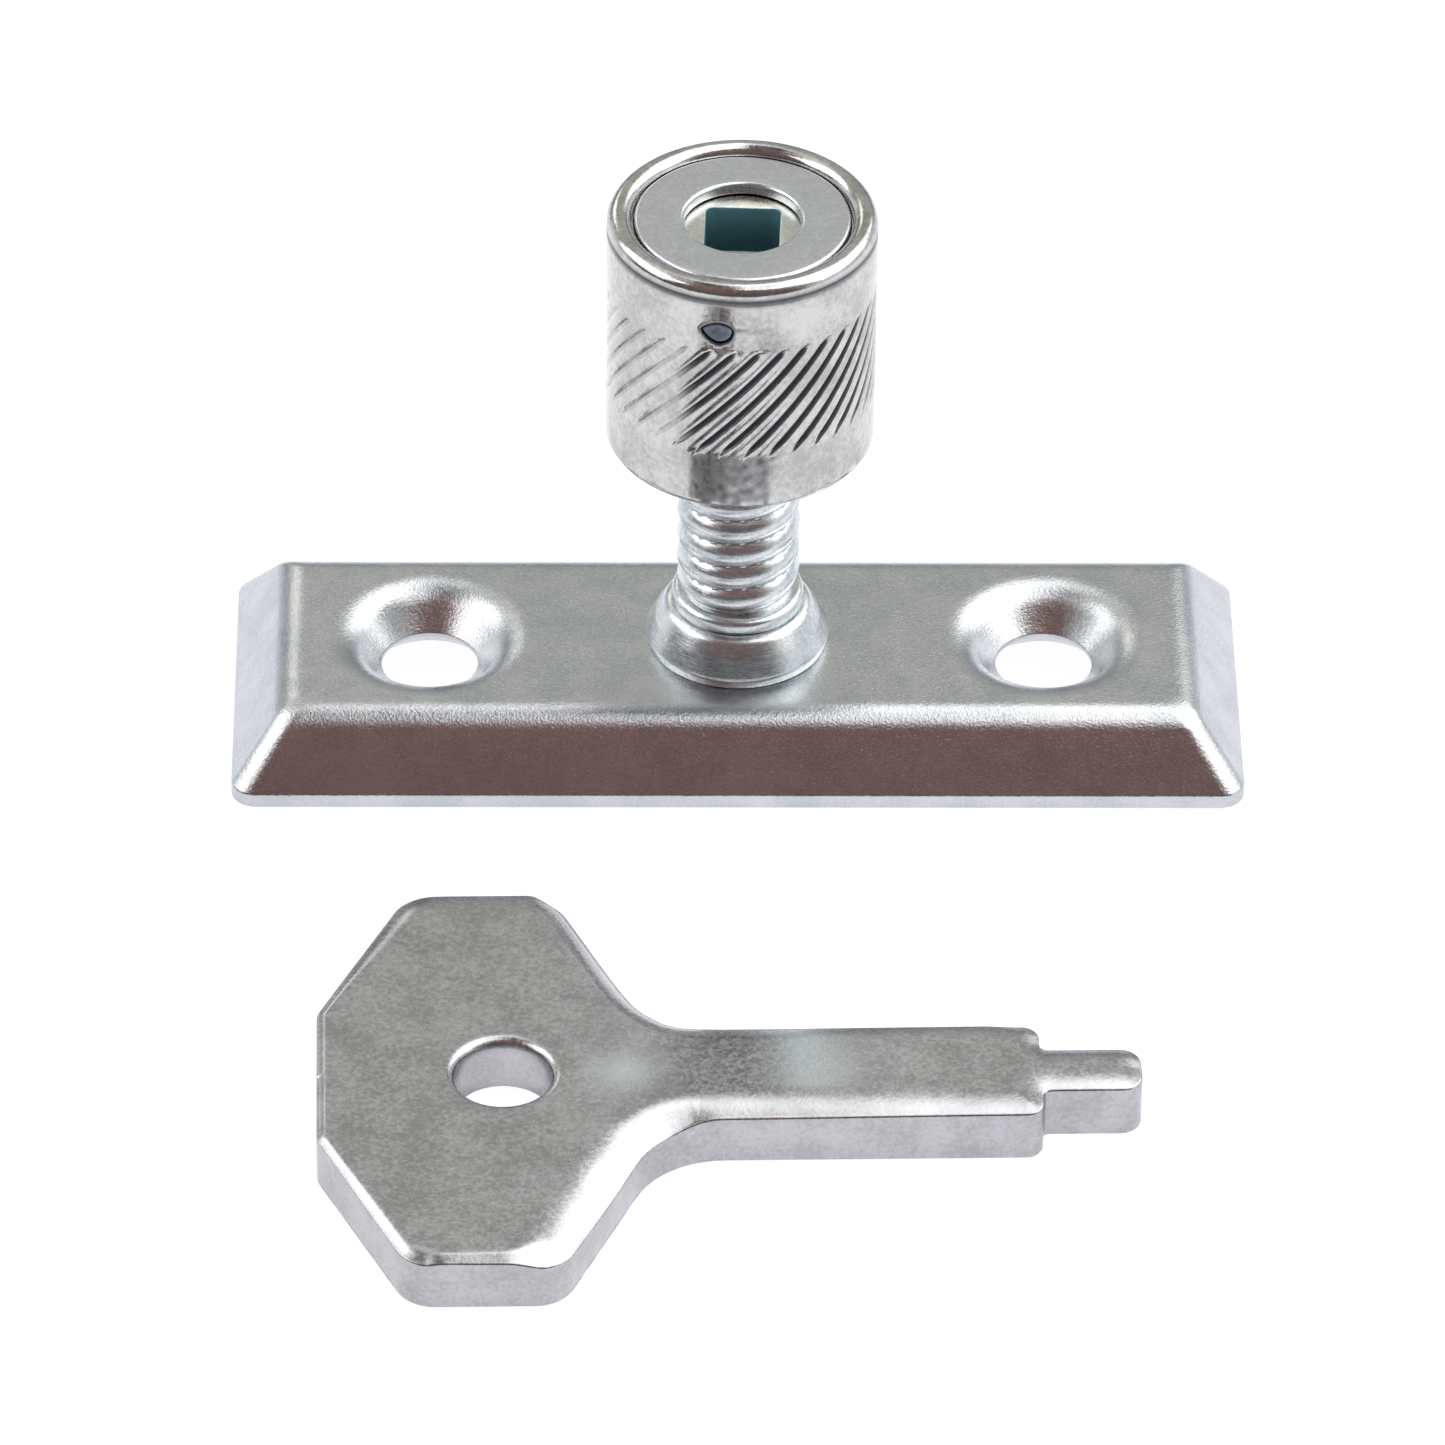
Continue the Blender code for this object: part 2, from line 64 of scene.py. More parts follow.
def centre_and_size(node):
    """The middle of a CAD node's box and the box's size."""
    low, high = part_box(node)
    return (low + high) / 2, high - low


PLATE_SIZE = centre_and_size("base_plate")[1]
PEG_SIZE = centre_and_size("threaded_peg")[1]
SHELL_MIDDLE, SHELL_SIZE = centre_and_size("barrel_shell")
DISC_MIDDLE, DISC_SIZE = centre_and_size("cover_disc")
NUT_MIDDLE, NUT_SIZE = centre_and_size("lock_nut")
PIN_MIDDLE = centre_and_size("retaining_pin")[0]
KEY_SIZE = centre_and_size("key")[1]
PLATE_TOP = PLATE_SIZE.z
SHELL_BOTTOM = SHELL_MIDDLE.z - SHELL_SIZE.z / 2
SHELL_TOP = SHELL_MIDDLE.z + SHELL_SIZE.z / 2
SHELL_RADIUS = SHELL_SIZE.x / 2
DISC_BOTTOM = DISC_MIDDLE.z - DISC_SIZE.z / 2
DISC_TOP = DISC_MIDDLE.z + DISC_SIZE.z / 2
NUT_BOTTOM = NUT_MIDDLE.z - NUT_SIZE.z / 2
NUT_TOP = NUT_MIDDLE.z + NUT_SIZE.z / 2
THREAD_PITCH = 1.5 * MM


def linear(hex_colour):
    """An sRGB hex colour as linear red, green and blue."""
    values = [int(hex_colour[i : i + 2], 16) / 255 for i in (1, 3, 5)]
    return tuple(v / 12.92 if v <= 0.04045 else ((v + 0.055) / 1.055) ** 2.4 for v in values)


def length(name, description, millimetres):
    return FloatProperty(
        name=name, description=description, default=millimetres * MM, unit="LENGTH", precision=5
    )


def angle(name, description, degrees):
    return FloatProperty(name=name, description=description, default=math.radians(degrees), unit="ROTATION")


def colour(name, description, hex_colour):
    return FloatVectorProperty(
        name=name, description=description, default=linear(hex_colour), subtype="COLOR", min=0, max=1
    )


class StayPegPlate(PropertyGroup):
    edge_height: length("Edge height", "Upright edge below the skirts", 0.85)
    corner_radius: length("Corner radius", "Of the plate's foot in plan", 1.3)
    foot_width: length("Foot width", "Of the rim that the plate stands on", 1.2)
    skirt_inset: length("Skirt inset", "From the edge in to the top, before the bend", 2.78)
    bend_radius: length("Bend radius", "Between the top and the skirts", 2.1)
    sheet: length("Sheet thickness", "Of the pressed steel", 1.5)
    screw_inset: length("Screw inset", "From the plate's end to a screw hole's centre", 10.5)
    hole_radius: length("Screw hole radius", "At the bottom of the dimple", 2.59)
    dimple_radius: length("Dimple radius", "Where the dimple leaves the top face", 5.0)
    dimple_depth: length("Dimple depth", "Of the pressed countersink", 1.85)
    light: colour("Light tone", "Of the zinc where it is clean", "#cacccf")
    dark: colour("Dark tone", "Of the zinc where it is dull", "#b8bcbf")


class StayPegPeg(PropertyGroup):
    stud_radius: length("Stud radius", "Over the thread's crests", 3.28)
    thread_depth: length("Thread depth", "From crest to root", 0.42)
    thread_start: FloatProperty(
        name="Thread start", description="Of the thread round the peg, in turns", default=0.57
    )
    ring_radius: length("Ring radius", "Of the ring under the stay's arm", 3.55)
    ring_top: length("Ring top", "Height above the plate's foot", 7.75)
    shoulder_radius: length("Shoulder radius", "At the top of the flange's cone", 3.8)
    shoulder_height: length("Shoulder height", "Above the plate's foot", 6.85)
    rim_height: length("Flange rim height", "Of the bead round the flange's foot", 0.55)
    tenon_radius: length("Tenon radius", "Of the shaft through the plate", 2.7)
    rivet_radius: length("Rivet radius", "Of the head under the plate", 4.3)
    light: colour("Light tone", "Of the zinc on the crests", "#dcdedf")
    dark: colour("Dark tone", "Of the zinc in the roots", "#b9c1c3")


class StayPegBarrel(PropertyGroup):
    wall: length("Wall", "Of the cup", 1.25)
    floor: length("Floor", "Thickness of the cup's floor", 1.0)
    floor_hole: length("Floor hole radius", "Where the stud passes", 3.73)
    edge_radius: length("Lower edge radius", "Round the foot of the cup", 0.6)
    rim_opening: length("Rim opening radius", "Inside the rolled rim", 5.79)
    rim_thickness: length("Rim thickness", "Of the rolled lip", 0.45)
    grooves: IntProperty(name="Grooves", description="Cuts in the knurl", default=34, min=8)
    knurl_start: length("Knurl start", "Above the cup's underside", 3.38)
    knurl_height: length("Knurl height", "Of the grooved band", 6.85)
    knurl_depth: length("Knurl depth", "Of a groove", 0.22)
    knurl_lean: angle("Knurl lean", "Of a groove from the axis", 42.3)
    light: colour("Light tone", "Of the clean zinc", "#cdcdca")
    dark: colour("Dark tone", "Of the rubbed zinc", "#acacaa")
    # Painted shade: this dark tone shades the grooves, the crease under the rim and the pin hole, paints the
    # key's reflection below the band, and draws the scratch by the pin
    shade_and_stain_tone: colour("Grime", "Left by the knurling wheel in the grooves", "#3c4048")


class StayPegLock(PropertyGroup):
    disc_hole: length("Disc hole radius", "In the cover disc", 3.083)
    socket: length("Socket", "Across the flats of the nut's square socket", 3.85)
    socket_turn: angle("Socket turn", "Of the square from the plate's length", -2.5)
    web_bottom: length("Web bottom", "Height of the underside of the nut's web", 26.45)
    neck_radius: length("Neck radius", "Of the nut above its shoulder", 4.46)
    shoulder_height: length("Shoulder height", "Of the nut's step", 28.28)
    bore_radius: length("Bore radius", "Of the nut's thread at its roots", 3.48)
    pin_radius: length("Pin radius", "Of the retaining pin", 0.75)
    disc_step: length("Disc step radius", "Where the disc's middle rises above its edge", 5.7)
    disc_sheet: length("Disc thickness", "Of the disc's sheet", 0.45)
    disc_tone: colour("Disc tone", "Of the disc's zinc", "#d3d5da")
    nut_tone: colour("Nut tone", "Of the nut's zinc", "#d9dad2")
    socket_tone: colour("Socket tone", "Of the blued steel inside the socket", "#8fb3ba")
    pin_tone: colour("Pin tone", "Of the pin's ground steel", "#7d8391")


class StayPegKey(PropertyGroup):
    bow_length: length("Bow length", "Across the key", 29.85)
    bow_width: length("Bow width", "Along the key", 17.0)
    bow_side: length("Bow flat", "Length of the bow's end flat", 10.0)
    bow_chamfer: length("Bow chamfer", "Along the key", 4.6)
    bow_to_hole: length("Bow end to hole", "To the hole's centre", 9.55)
    hole_radius: length("Hole radius", "For a key ring", 2.5)
    shank_width: length("Shank width", "Of the bar", 7.2)
    shank_reach: length("Shank reach", "From the hole's centre to the shoulder", 27.65)
    tip_width: length("Tip width", "Across the square tip", 3.45)
    tip_length: length("Tip length", "Past the shoulder", 5.15)
    turn: angle("Turn", "Of the key as it lies", 0.95)
    light: colour("Light tone", "Of the zinc where it is clean", "#bdbec0")
    dark: colour("Dark tone", "Of the zinc where it is dull", "#a5a5a7")
    bloom: colour("Bloom", "Of the passivate where it dried thick", "#d9e4e8")


class StayPegStage(PropertyGroup):
    lens: FloatProperty(name="Lens", description="Focal length of the camera", default=279.7, unit="CAMERA")
    distance: length("Distance", "From the camera to what it is aimed at", 605.3)
    elevation: angle("Elevation", "Of the camera above the table", 37.465)
    bearing: angle("Bearing", "Of the camera to the right of the front", -1.029)
    roll: angle("Roll", "Of the camera", 0.706)
    aim_right: length("Aim right", "Of the axis's foot, in the camera's view", -0.739)
    aim_up: length("Aim up", "Of the axis's foot, in the camera's view", -1.285)
    table_tone: colour("Table", "Of the pale acrylic, which is lit from below", "#7e7e82")


# Shared ways of shaping


def rounded_path(corners, steps=5, closed=False):
    """Points along a path through (across, up, radius) corners, each rounded by an arc of that radius."""
    points = []
    count = len(corners)
    for index, (across, up, radius) in enumerate(corners):
        corner = Vector((across, up))
        if not radius or (not closed and index in (0, count - 1)):
            points.append(corner)
            continue
        before = Vector(corners[index - 1][:2]) - corner
        after = Vector(corners[(index + 1) % count][:2]) - corner
        half_angle = before.angle(after) / 2
        inward = (before.normalized() + after.normalized()).normalized()
        centre = corner + inward * radius / math.sin(half_angle)
        start = corner + before.normalized() * radius / math.tan(half_angle) - centre
        end = corner + after.normalized() * radius / math.tan(half_angle) - centre
        sweep = start.angle_signed(end)
        points += [centre + Matrix.Rotation(-sweep * step / steps, 2) @ start for step in range(steps + 1)]
    return points


def filled_in(points, spacing, closed=False):
    """The same path with more points along its longer stretches."""
    path = []
    pairs = list(zip(points, points[1:])) + ([(points[-1], points[0])] if closed else [])
    for start, end in pairs:
        count = max(1, math.ceil((end - start).length / spacing))
        path += [start.lerp(end, step / count) for step in range(count)]
    return path if closed else path + [points[-1]]


def spun(bm, profile, steps, ring=False):
    """Adds a profile of (radius, height) points turned once round Z. A ring's profile closes on itself."""
    points = [bm.verts.new((radius, 0, height)) for radius, height in profile]
    edges = [bm.edges.new(pair) for pair in zip(points, points[1:])]
    if ring:
        edges.append(bm.edges.new((points[-1], points[0])))
    bmesh.ops.spin(bm, geom=points + edges, steps=steps, use_merge=True, **FULL_TURN)
    bmesh.ops.remove_doubles(bm, verts=bm.verts, dist=MERGE)


def extruded(bm, edges):
    """Extrudes a loop of edges and returns the new loop's points and edges."""
    made = bmesh.ops.extrude_edge_only(bm, edges=edges)["geom"]
    points = {item for item in made if isinstance(item, bmesh.types.BMVert)}
    loop = [item for item in made if isinstance(item, bmesh.types.BMEdge) and points.issuperset(item.verts)]
    return points, loop


def open_edges(bm, keep):
    """The open edges whose middles pass a test."""
    return [edge for edge in bm.edges if edge.is_boundary and keep((edge.verts[0].co + edge.verts[1].co) / 2)]


def set_radius(point, radius):
    """Moves a point straight in or out to a distance from the Z axis."""
    scale = radius / point.xy.length
    point.x *= scale
    point.y *= scale


def eased(value):
    """0 below 0, 1 above 1, and smooth between."""
    value = min(1, max(0, value))
    return value * value * (3 - 2 * value)


def between(stops, value):
    """A smooth value from (place, value) stops."""
    for (place, low), (next_place, high) in zip(stops, stops[1:]):
        if value <= next_place:
            return low + (high - low) * eased((value - place) / (next_place - place))
    return stops[-1][1]


def thread_wave(point, start):
    """A rounded right-hand thread's form at a point: 0 in the root, 1 on the crest."""
    turn = point.z / THREAD_PITCH - math.atan2(point.y, point.x) / (2 * math.pi) - start
    return abs(math.sin(math.pi * turn)) ** 0.8


def finish_piece(name, bm, body, node, material, sharp=50):
    """Turns a finished mesh into a piece that rides on its body and stands for its CAD node."""
    bmesh.ops.remove_doubles(bm, verts=bm.verts, dist=MERGE)
    bmesh.ops.recalc_face_normals(bm, faces=bm.faces)
    mesh = bpy.data.meshes.new(name)
    bm.to_mesh(mesh)
    bm.free()
    mesh.shade_smooth()
    mesh.set_sharp_from_angle(angle=math.radians(sharp))
    mesh.materials.append(material)
    piece = bpy.data.objects.new(name, mesh)
    bpy.context.scene.collection.objects.link(piece)
    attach(piece, body)
    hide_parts(node)


# Finishes


def add_node(tree, kind, inputs=(), **settings):
    """Adds a node with its settings. An input given as a socket is linked, and any other value is set."""
    node = tree.nodes.new(kind)
    for name, value in settings.items():
        setattr(node, name, value)
    for name, value in dict(inputs).items():
        if isinstance(value, bpy.types.NodeSocket):
            tree.links.new(value, node.inputs[name])
        else:
            node.inputs[name].default_value = value
    return node


def plated(name, light, dark, roughness, grain, relief, stretch=(1, 1, 1), streaks=0.0):
    """Bright zinc plate over steel. The crystals of the plating give a fine silvery grain, and the passivate
    dip leaves soft grey clouds. Grain is the size of the grain and relief its height, both in metres. Stretch
    draws the streaks of the tool out along an axis, and streaks is how strongly they show."""
    material = bpy.data.materials.new(name)
    material.use_nodes = True
    tree = material.node_tree
    shader = tree.nodes["Principled BSDF"]
    place = add_node(tree, "ShaderNodeTexCoord").outputs["Object"]
    clouds = add_node(
        tree, "ShaderNodeTexNoise", {"Vector": place, "Scale": 1 / (2.6 * MM), "Detail": 5, "Roughness": 0.6}
    )
    fine = add_node(
        tree, "ShaderNodeTexNoise", {"Vector": place, "Scale": 1 / grain, "Detail": 3, "Roughness": 0.65}
    )
    drawn = add_node(tree, "ShaderNodeMapping", {"Vector": place, "Scale": stretch})
    lines = add_node(
        tree, "ShaderNodeTexNoise", {"Vector": drawn.outputs[0], "Scale": 1 / (0.25 * MM), "Detail": 3}
    )
    speckled = add_node(
        tree, "ShaderNodeMix", {0: 0.45, 2: clouds.outputs["Fac"], 3: fine.outputs["Fac"]}, data_type="FLOAT"
    )
    blend = add_node(
        tree,
        "ShaderNodeMapRange",
        {"Value": speckled.outputs[0], "From Min": 0.36, "From Max": 0.62},
        interpolation_type="SMOOTHSTEP",
    )
    tone = add_node(
        tree, "ShaderNodeMix", {0: blend.outputs[0], 6: (*dark, 1), 7: (*light, 1)}, data_type="RGBA"
    )
    tree.links.new(tone.outputs[2], shader.inputs["Base Color"])
    shader.inputs["Metallic"].default_value = 1
    gloss = add_node(
        tree,
        "ShaderNodeMapRange",
        {
            "Value": lines.outputs["Fac"],
            "From Min": 0.3,
            "From Max": 0.7,
            "To Min": roughness[0],
            "To Max": roughness[1],
        },
    )
    tree.links.new(gloss.outputs[0], shader.inputs["Roughness"])
    height = add_node(
        tree,
        "ShaderNodeMath",
        {0: lines.outputs["Fac"], 1: streaks, 2: fine.outputs["Fac"]},
        operation="MULTIPLY_ADD",
    )
    bump = add_node(tree, "ShaderNodeBump", {"Height": height.outputs[0], "Strength": 1, "Distance": relief})
    tree.links.new(bump.outputs[0], shader.inputs["Normal"])
    return material


def add_shade_and_stain_look(material, shade_and_stain_tone, roughness):
    """Adds a second look where the piece's own shade_and_stain attribute says: on the barrel, painted shade
    that makes the bottom of a cut, the crease and the pin hole dark and dull, a painted reflection of the key
    and a scratch; blued steel in the socket; a pale bloom on the key."""
    tree = material.node_tree
    shader = tree.nodes["Principled BSDF"]
    amount = add_node(tree, "ShaderNodeAttribute", attribute_name="shade_and_stain").outputs["Fac"]
    for socket, value, kind, pair in (
        ("Base Color", (*shade_and_stain_tone, 1), "RGBA", (6, 7, 2)),
        ("Roughness", roughness, "FLOAT", (2, 3, 0)),
    ):
        before = shader.inputs[socket].links[0].from_socket
        mixed = add_node(tree, "ShaderNodeMix", {0: amount, pair[0]: before, pair[1]: value}, data_type=kind)
        tree.links.new(mixed.outputs[pair[2]], shader.inputs[socket])
    return material


# The pressed plate


def place_section(points, stations, corner_steps, inset, height, radius):
    """Puts a loop's points on a rounded rectangle, by each point's station round the plate."""
    for point in points:
        corner, step = divmod(point[stations], corner_steps + 1)
        way = Matrix.Rotation(math.pi / 2 * (corner + step / corner_steps), 2) @ Vector((1, 0))
        sides = Vector(((1, 1), (-1, 1), (-1, -1), (1, -1))[corner])
        # The far hips are pressed sharper than the near ones
        reach = max(radius - (0.1 if sides.y < 0 else 0.6) * inset, 0.4 * MM)
        middle = Vector((PLATE_SIZE.x / 2 - inset - reach, PLATE_SIZE.y / 2 - inset - reach)) * sides
        point.co = (*(middle + way * reach), height)


def make_plate(sizes):
    corner_steps = 12
    slope = math.atan2(PLATE_TOP - sizes.edge_height, sizes.skirt_inset)
    bend_end = sizes.skirt_inset + sizes.bend_radius * math.tan(slope / 2)
    outside = rounded_path(
        [
            (0.1 * MM, 0, 0),
            (0, 0.1 * MM, 0.1 * MM),
            (0, sizes.edge_height, 0.28 * MM),
            (sizes.skirt_inset, PLATE_TOP, sizes.bend_radius),
            (bend_end + 0.25 * MM, PLATE_TOP, 0),
        ],
        steps=12,
    )
    underside = PLATE_TOP - sizes.sheet
    hollow = sizes.skirt_inset + sizes.sheet * math.tan(slope / 2)
    inside = rounded_path(
        [
            (0.1 * MM, 0, 0),
            (sizes.foot_width, 0, 0.2 * MM),
            (hollow, underside, 0.6 * MM),
            (hollow + 0.5 * MM, underside, 0),
        ],
        steps=5,
    )

    bm = bmesh.new()
    stations = bm.verts.layers.int.new("station")
    start = bmesh.ops.create_circle(bm, segments=4 * (corner_steps + 1), radius=MM)["verts"]
    for index, point in enumerate(start):
        point[stations] = index
    first = list(bm.edges)
    place_section(start, stations, corner_steps, outside[0].x, outside[0].y, sizes.corner_radius)
    for path in (outside[1:], inside[1:]):
        loop = first
        for inset, height in path:
            points, loop = extruded(bm, loop)
            place_section(points, stations, corner_steps, inset, height, sizes.corner_radius)

    rim = PLATE_TOP - sizes.dimple_depth
    boss = sizes.dimple_radius + sizes.sheet / 2
    dimple = rounded_path(
        [
            (sizes.dimple_radius + 0.52 * MM, PLATE_TOP, 0),
            (sizes.dimple_radius - 0.6 * MM, PLATE_TOP, 2.5 * MM),
            (sizes.hole_radius, rim, 0.12 * MM),
            (sizes.hole_radius, rim - 0.2 * MM, 0.08 * MM),
            (sizes.hole_radius + 0.9 * MM, rim - 0.8 * sizes.sheet, 0.2 * MM),
            (boss, underside, 0.3 * MM),
            (boss + 0.15 * MM, underside, 0),
        ],
        steps=8,
    )
    screw_x = PLATE_SIZE.x / 2 - sizes.screw_inset
    for x in (-screw_x, screw_x):
        before = set(bm.verts)
        spun(bm, filled_in(dimple, 0.25 * MM), 72)
        bmesh.ops.translate(bm, verts=[vert for vert in bm.verts if vert not in before], vec=(x, 0, 0))
    peg_hole = 3.0 * MM
    spun(bm, [(peg_hole, PLATE_TOP), (peg_hole, underside)], 48)
    for height in (PLATE_TOP, underside):
        around = open_edges(bm, lambda middle: abs(middle.z - height) < 0.01 * MM)
        bmesh.ops.triangle_fill(bm, edges=around, use_beauty=True)

    zinc = plated("pressed_zinc_plated_steel", sizes.light, sizes.dark, (0.12, 0.22), 0.14 * MM, 0.024 * MM)
    finish_piece("pressed_plate", bm, "plate", "base_plate", zinc)


# The turned and threaded peg


def make_peg(sizes):
    flange_base = PLATE_TOP + 0.02 * MM
    flange = PEG_SIZE.x / 2
    root = sizes.stud_radius - sizes.thread_depth
    top = PEG_SIZE.z
    below_plate = PLATE_TOP - 1.8 * MM
    thread_start = sizes.ring_top + 0.02 * MM
    thread_end = top - 0.5 * MM
    turned_part = rounded_path(
        [
            (0, 0, 0),
            (sizes.rivet_radius, 0, 0.4 * MM),
            (sizes.rivet_radius, below_plate, 0.3 * MM),
            (sizes.tenon_radius, below_plate, 0),
            (sizes.tenon_radius, flange_base, 0),
            (flange - 0.12 * MM, flange_base, 0.1 * MM),
            (flange, flange_base + sizes.rim_height, 0.5 * MM),
            (sizes.shoulder_radius + 0.62 * MM, sizes.shoulder_height - 0.95 * MM, 1.6 * MM),
            (sizes.shoulder_radius, sizes.shoulder_height, 0.7 * MM),
            (sizes.ring_radius - 0.18 * MM, sizes.shoulder_height, 0),
            (sizes.ring_radius, sizes.shoulder_height + 0.18 * MM, 0.25 * MM),
            (sizes.ring_radius, sizes.ring_top, 0.4 * MM),
            (root, sizes.ring_top, 0.1 * MM),
            (root, thread_start, 0),
        ],
        steps=6,
    )
    stud = filled_in([Vector((root, thread_start)), Vector((root, thread_end))], THREAD_PITCH / 22)
    end = [Vector((root - 0.25 * MM, top)), Vector((0, top))]
    bm = bmesh.new()
    spun(bm, filled_in(turned_part, 0.2 * MM) + stud[1:] + end, 120)
    for vert in bm.verts:
        height = vert.co.z
        if not thread_start - 0.01 * MM < height < thread_end + 0.01 * MM:
            continue
        runout = eased(2 * (height - thread_start) / THREAD_PITCH)
        runout *= eased(2 * (thread_end - height) / THREAD_PITCH)
        wave = thread_wave(vert.co, sizes.thread_start)
        set_radius(vert.co, root + sizes.thread_depth * wave * runout)
    zinc = plated(
        "turned_zinc_plated_steel",
        sizes.light,
        sizes.dark,
        (0.2, 0.34),
        0.25 * MM,
        0.006 * MM,
        stretch=(0.25, 0.25, 4),
        streaks=1.6,
    )
    finish_piece("turned_peg", bm, "plate", "threaded_peg", zinc)


# The barrel


def on_wall(bearing, height):
    """The point at a bearing round the barrel's outside and a height."""
    return Vector((SHELL_RADIUS * math.cos(bearing), SHELL_RADIUS * math.sin(bearing), height))


def make_shell(sizes):
    columns_per_groove = 12
    steps = sizes.grooves * columns_per_groove
    bottom, top = SHELL_BOTTOM, SHELL_TOP
    start, finish = bottom + sizes.knurl_start, bottom + sizes.knurl_start + sizes.knurl_height
    bore = SHELL_RADIUS - sizes.wall
    seat = DISC_SIZE.x / 2 + 0.2 * MM
    lip = top - sizes.rim_thickness
    edge = SHELL_RADIUS - sizes.edge_radius
    underside = filled_in([Vector((sizes.floor_hole, bottom)), Vector((edge, bottom))], 0.5 * MM)
    outside = rounded_path(
        [
            (edge, bottom, 0),
            (SHELL_RADIUS, bottom, sizes.edge_radius * 0.99),
            (SHELL_RADIUS, top - 1.1 * MM, 0.15 * MM),
            (SHELL_RADIUS - 0.08 * MM, top - 0.85 * MM, 0.1 * MM),
            (SHELL_RADIUS, top - 0.7 * MM, 0.05 * MM),
            (SHELL_RADIUS, top, 0.63 * MM),
            (sizes.rim_opening + 0.02 * MM, top, 0.62 * MM),
            (sizes.rim_opening + 0.02 * MM, lip, 0),
            (seat, lip, 0),
            (seat, DISC_BOTTOM - 0.3 * MM, 0),
            (bore, DISC_BOTTOM - 0.3 * MM, 0),
            (bore, bottom + sizes.floor, 0),
            (sizes.floor_hole, bottom + sizes.floor, 0),
        ],
        steps=10,
    )
    wall = [
        point
        for first, second in zip(outside, outside[1:])
        for point in filled_in(
            [first, second], 0.18 * MM if first.x > edge and second.x > edge else 2 * MM
        )[:-1]
    ] + [outside[-1]]
    bm = bmesh.new()
    spun(bm, underside + wall[1:], steps, ring=True)
    shade_and_stain = bm.verts.layers.float.new("shade_and_stain")

    period = 2 * math.pi / sizes.grooves
    groove_share = 0.36  # of the spacing from one groove to the next
    land_crown = 0.05 * MM
    crease = top - 0.85 * MM  # under the bead of the rim
    full_twist = sizes.knurl_height * math.tan(sizes.knurl_lean) / SHELL_RADIUS
    # A groove starts here round the barrel, measured at the band's foot
    first_groove = math.radians(-90 - 0.1)
    # A painted reflection of the key: a dark, mottled patch below the band, by bearing from the side that
    # faces the key
    reflection_left, reflection_right, reflection_fade = math.radians(-23), math.radians(13), math.radians(3)
    most_shaded_and_deep = math.radians(75)  # painted shade in the grooves is darkest on this side, where they are cut deepest too; the side that catches the light stays pale
    for vert in bm.verts:
        radius, height = vert.co.xy.length, vert.co.z
        bearing = math.atan2(vert.co.y, vert.co.x)
        groove, place = divmod(round(bearing / (2 * math.pi) * steps), columns_per_groove)
        place -= columns_per_groove / 2
        half = columns_per_groove / 4
        if abs(place) <= half:
            across = place / half * groove_share / 2
        else:
            across = math.copysign(
                groove_share / 2 + (abs(place) - half) / half * (1 - groove_share) / 2, place
            )
        on_outside = radius > edge - 0.01 * MM
        if on_outside:
            rise = (height - start) / sizes.knurl_height
        elif height < bottom + 0.01 * MM:
            rise = (edge - radius) / (edge - sizes.floor_hole)
        else:
            rise = 1
        twist = full_twist * min(1, max(0, rise))
        turned_to = first_groove + (groove + across) * period + twist
        vert.co.xy = Matrix.Rotation(turned_to - bearing, 2) @ vert.co.xy
        if not on_outside:
            continue
        facing = turned_to + math.pi / 2  # from the side that faces the key
        # Painted shade in the crease under the rim's bead
        if height > finish + MM:
            vert[shade_and_stain] = 0.9 * max(0, 1 - abs(height - crease) / (0.35 * MM))
        # Painted reflection of the key at the foot of the barrel
        if height < start + 0.2 * MM:
            edges = min(facing - reflection_left, reflection_right - facing) / reflection_fade
            mottle = min(1, max(0, 0.55 + 0.9 * noise.noise(vert.co / (0.45 * MM))))
            vert[shade_and_stain] = 0.8 * eased(edges) * mottle * eased((height - bottom) / (0.5 * MM))
        if not start < height < finish:
            continue
        narrow = min(1, (height - start) / (0.8 * MM), (finish - height) / (0.3 * MM))
        if abs(across) < groove_share / 2:
            side = abs(across) / (groove_share / 2)
            cut = max(0, min(1, 1.6 * (1 - side / max(narrow, 0.05)))) * min(1, narrow * 1.3)
            # The grooves are painted darker with shade, and cut deeper, on the side away from the light
            shaded_and_deep = 0.2 + 0.8 * eased((math.cos(facing - most_shaded_and_deep) + 0.26) / 0.19)
            deep = (sizes.knurl_depth - land_crown) * cut * (0.4 + 0.6 * shaded_and_deep)
            set_radius(vert.co, radius - land_crown * min(1, 2 * narrow) - deep)
            # Painted shade in the bottom of the groove
            vert[shade_and_stain] = min(1, 1.5 * cut) * shaded_and_deep
        else:
            off_top = 1 - (abs(across) - groove_share / 2) / (0.5 - groove_share / 2)
            set_radius(vert.co, radius - land_crown * off_top**2 * min(1, 2 * narrow))

    cut_pin_hole(bm, shade_and_stain)
    zinc = plated(
        "zinc_plated_drawn_cup",
        sizes.light,
        sizes.dark,
        (0.1, 0.22),
        0.3 * MM,
        0.006 * MM,
        stretch=(1, 1, 0.3),
        streaks=0.6,
    )
    add_shade_and_stain_look(zinc, sizes.shade_and_stain_tone, 0.5)
    finish_piece("knurled_shell", bm, "barrel", "barrel_shell", zinc, sharp=60)


def mark_radius(right, up):
    """The reach of the smeared pin hole's edge in a direction: pointed on the left and full below."""
    reach = math.hypot(right, up)
    power = 1.45 if right < 0 else 2
    across = abs(right) / reach / (0.95 if right < 0 else 0.88)
    upward = abs(up) / reach / (0.6 if up > 0 else 0.84)
    return MM / (across**power + upward**power) ** (1 / power)


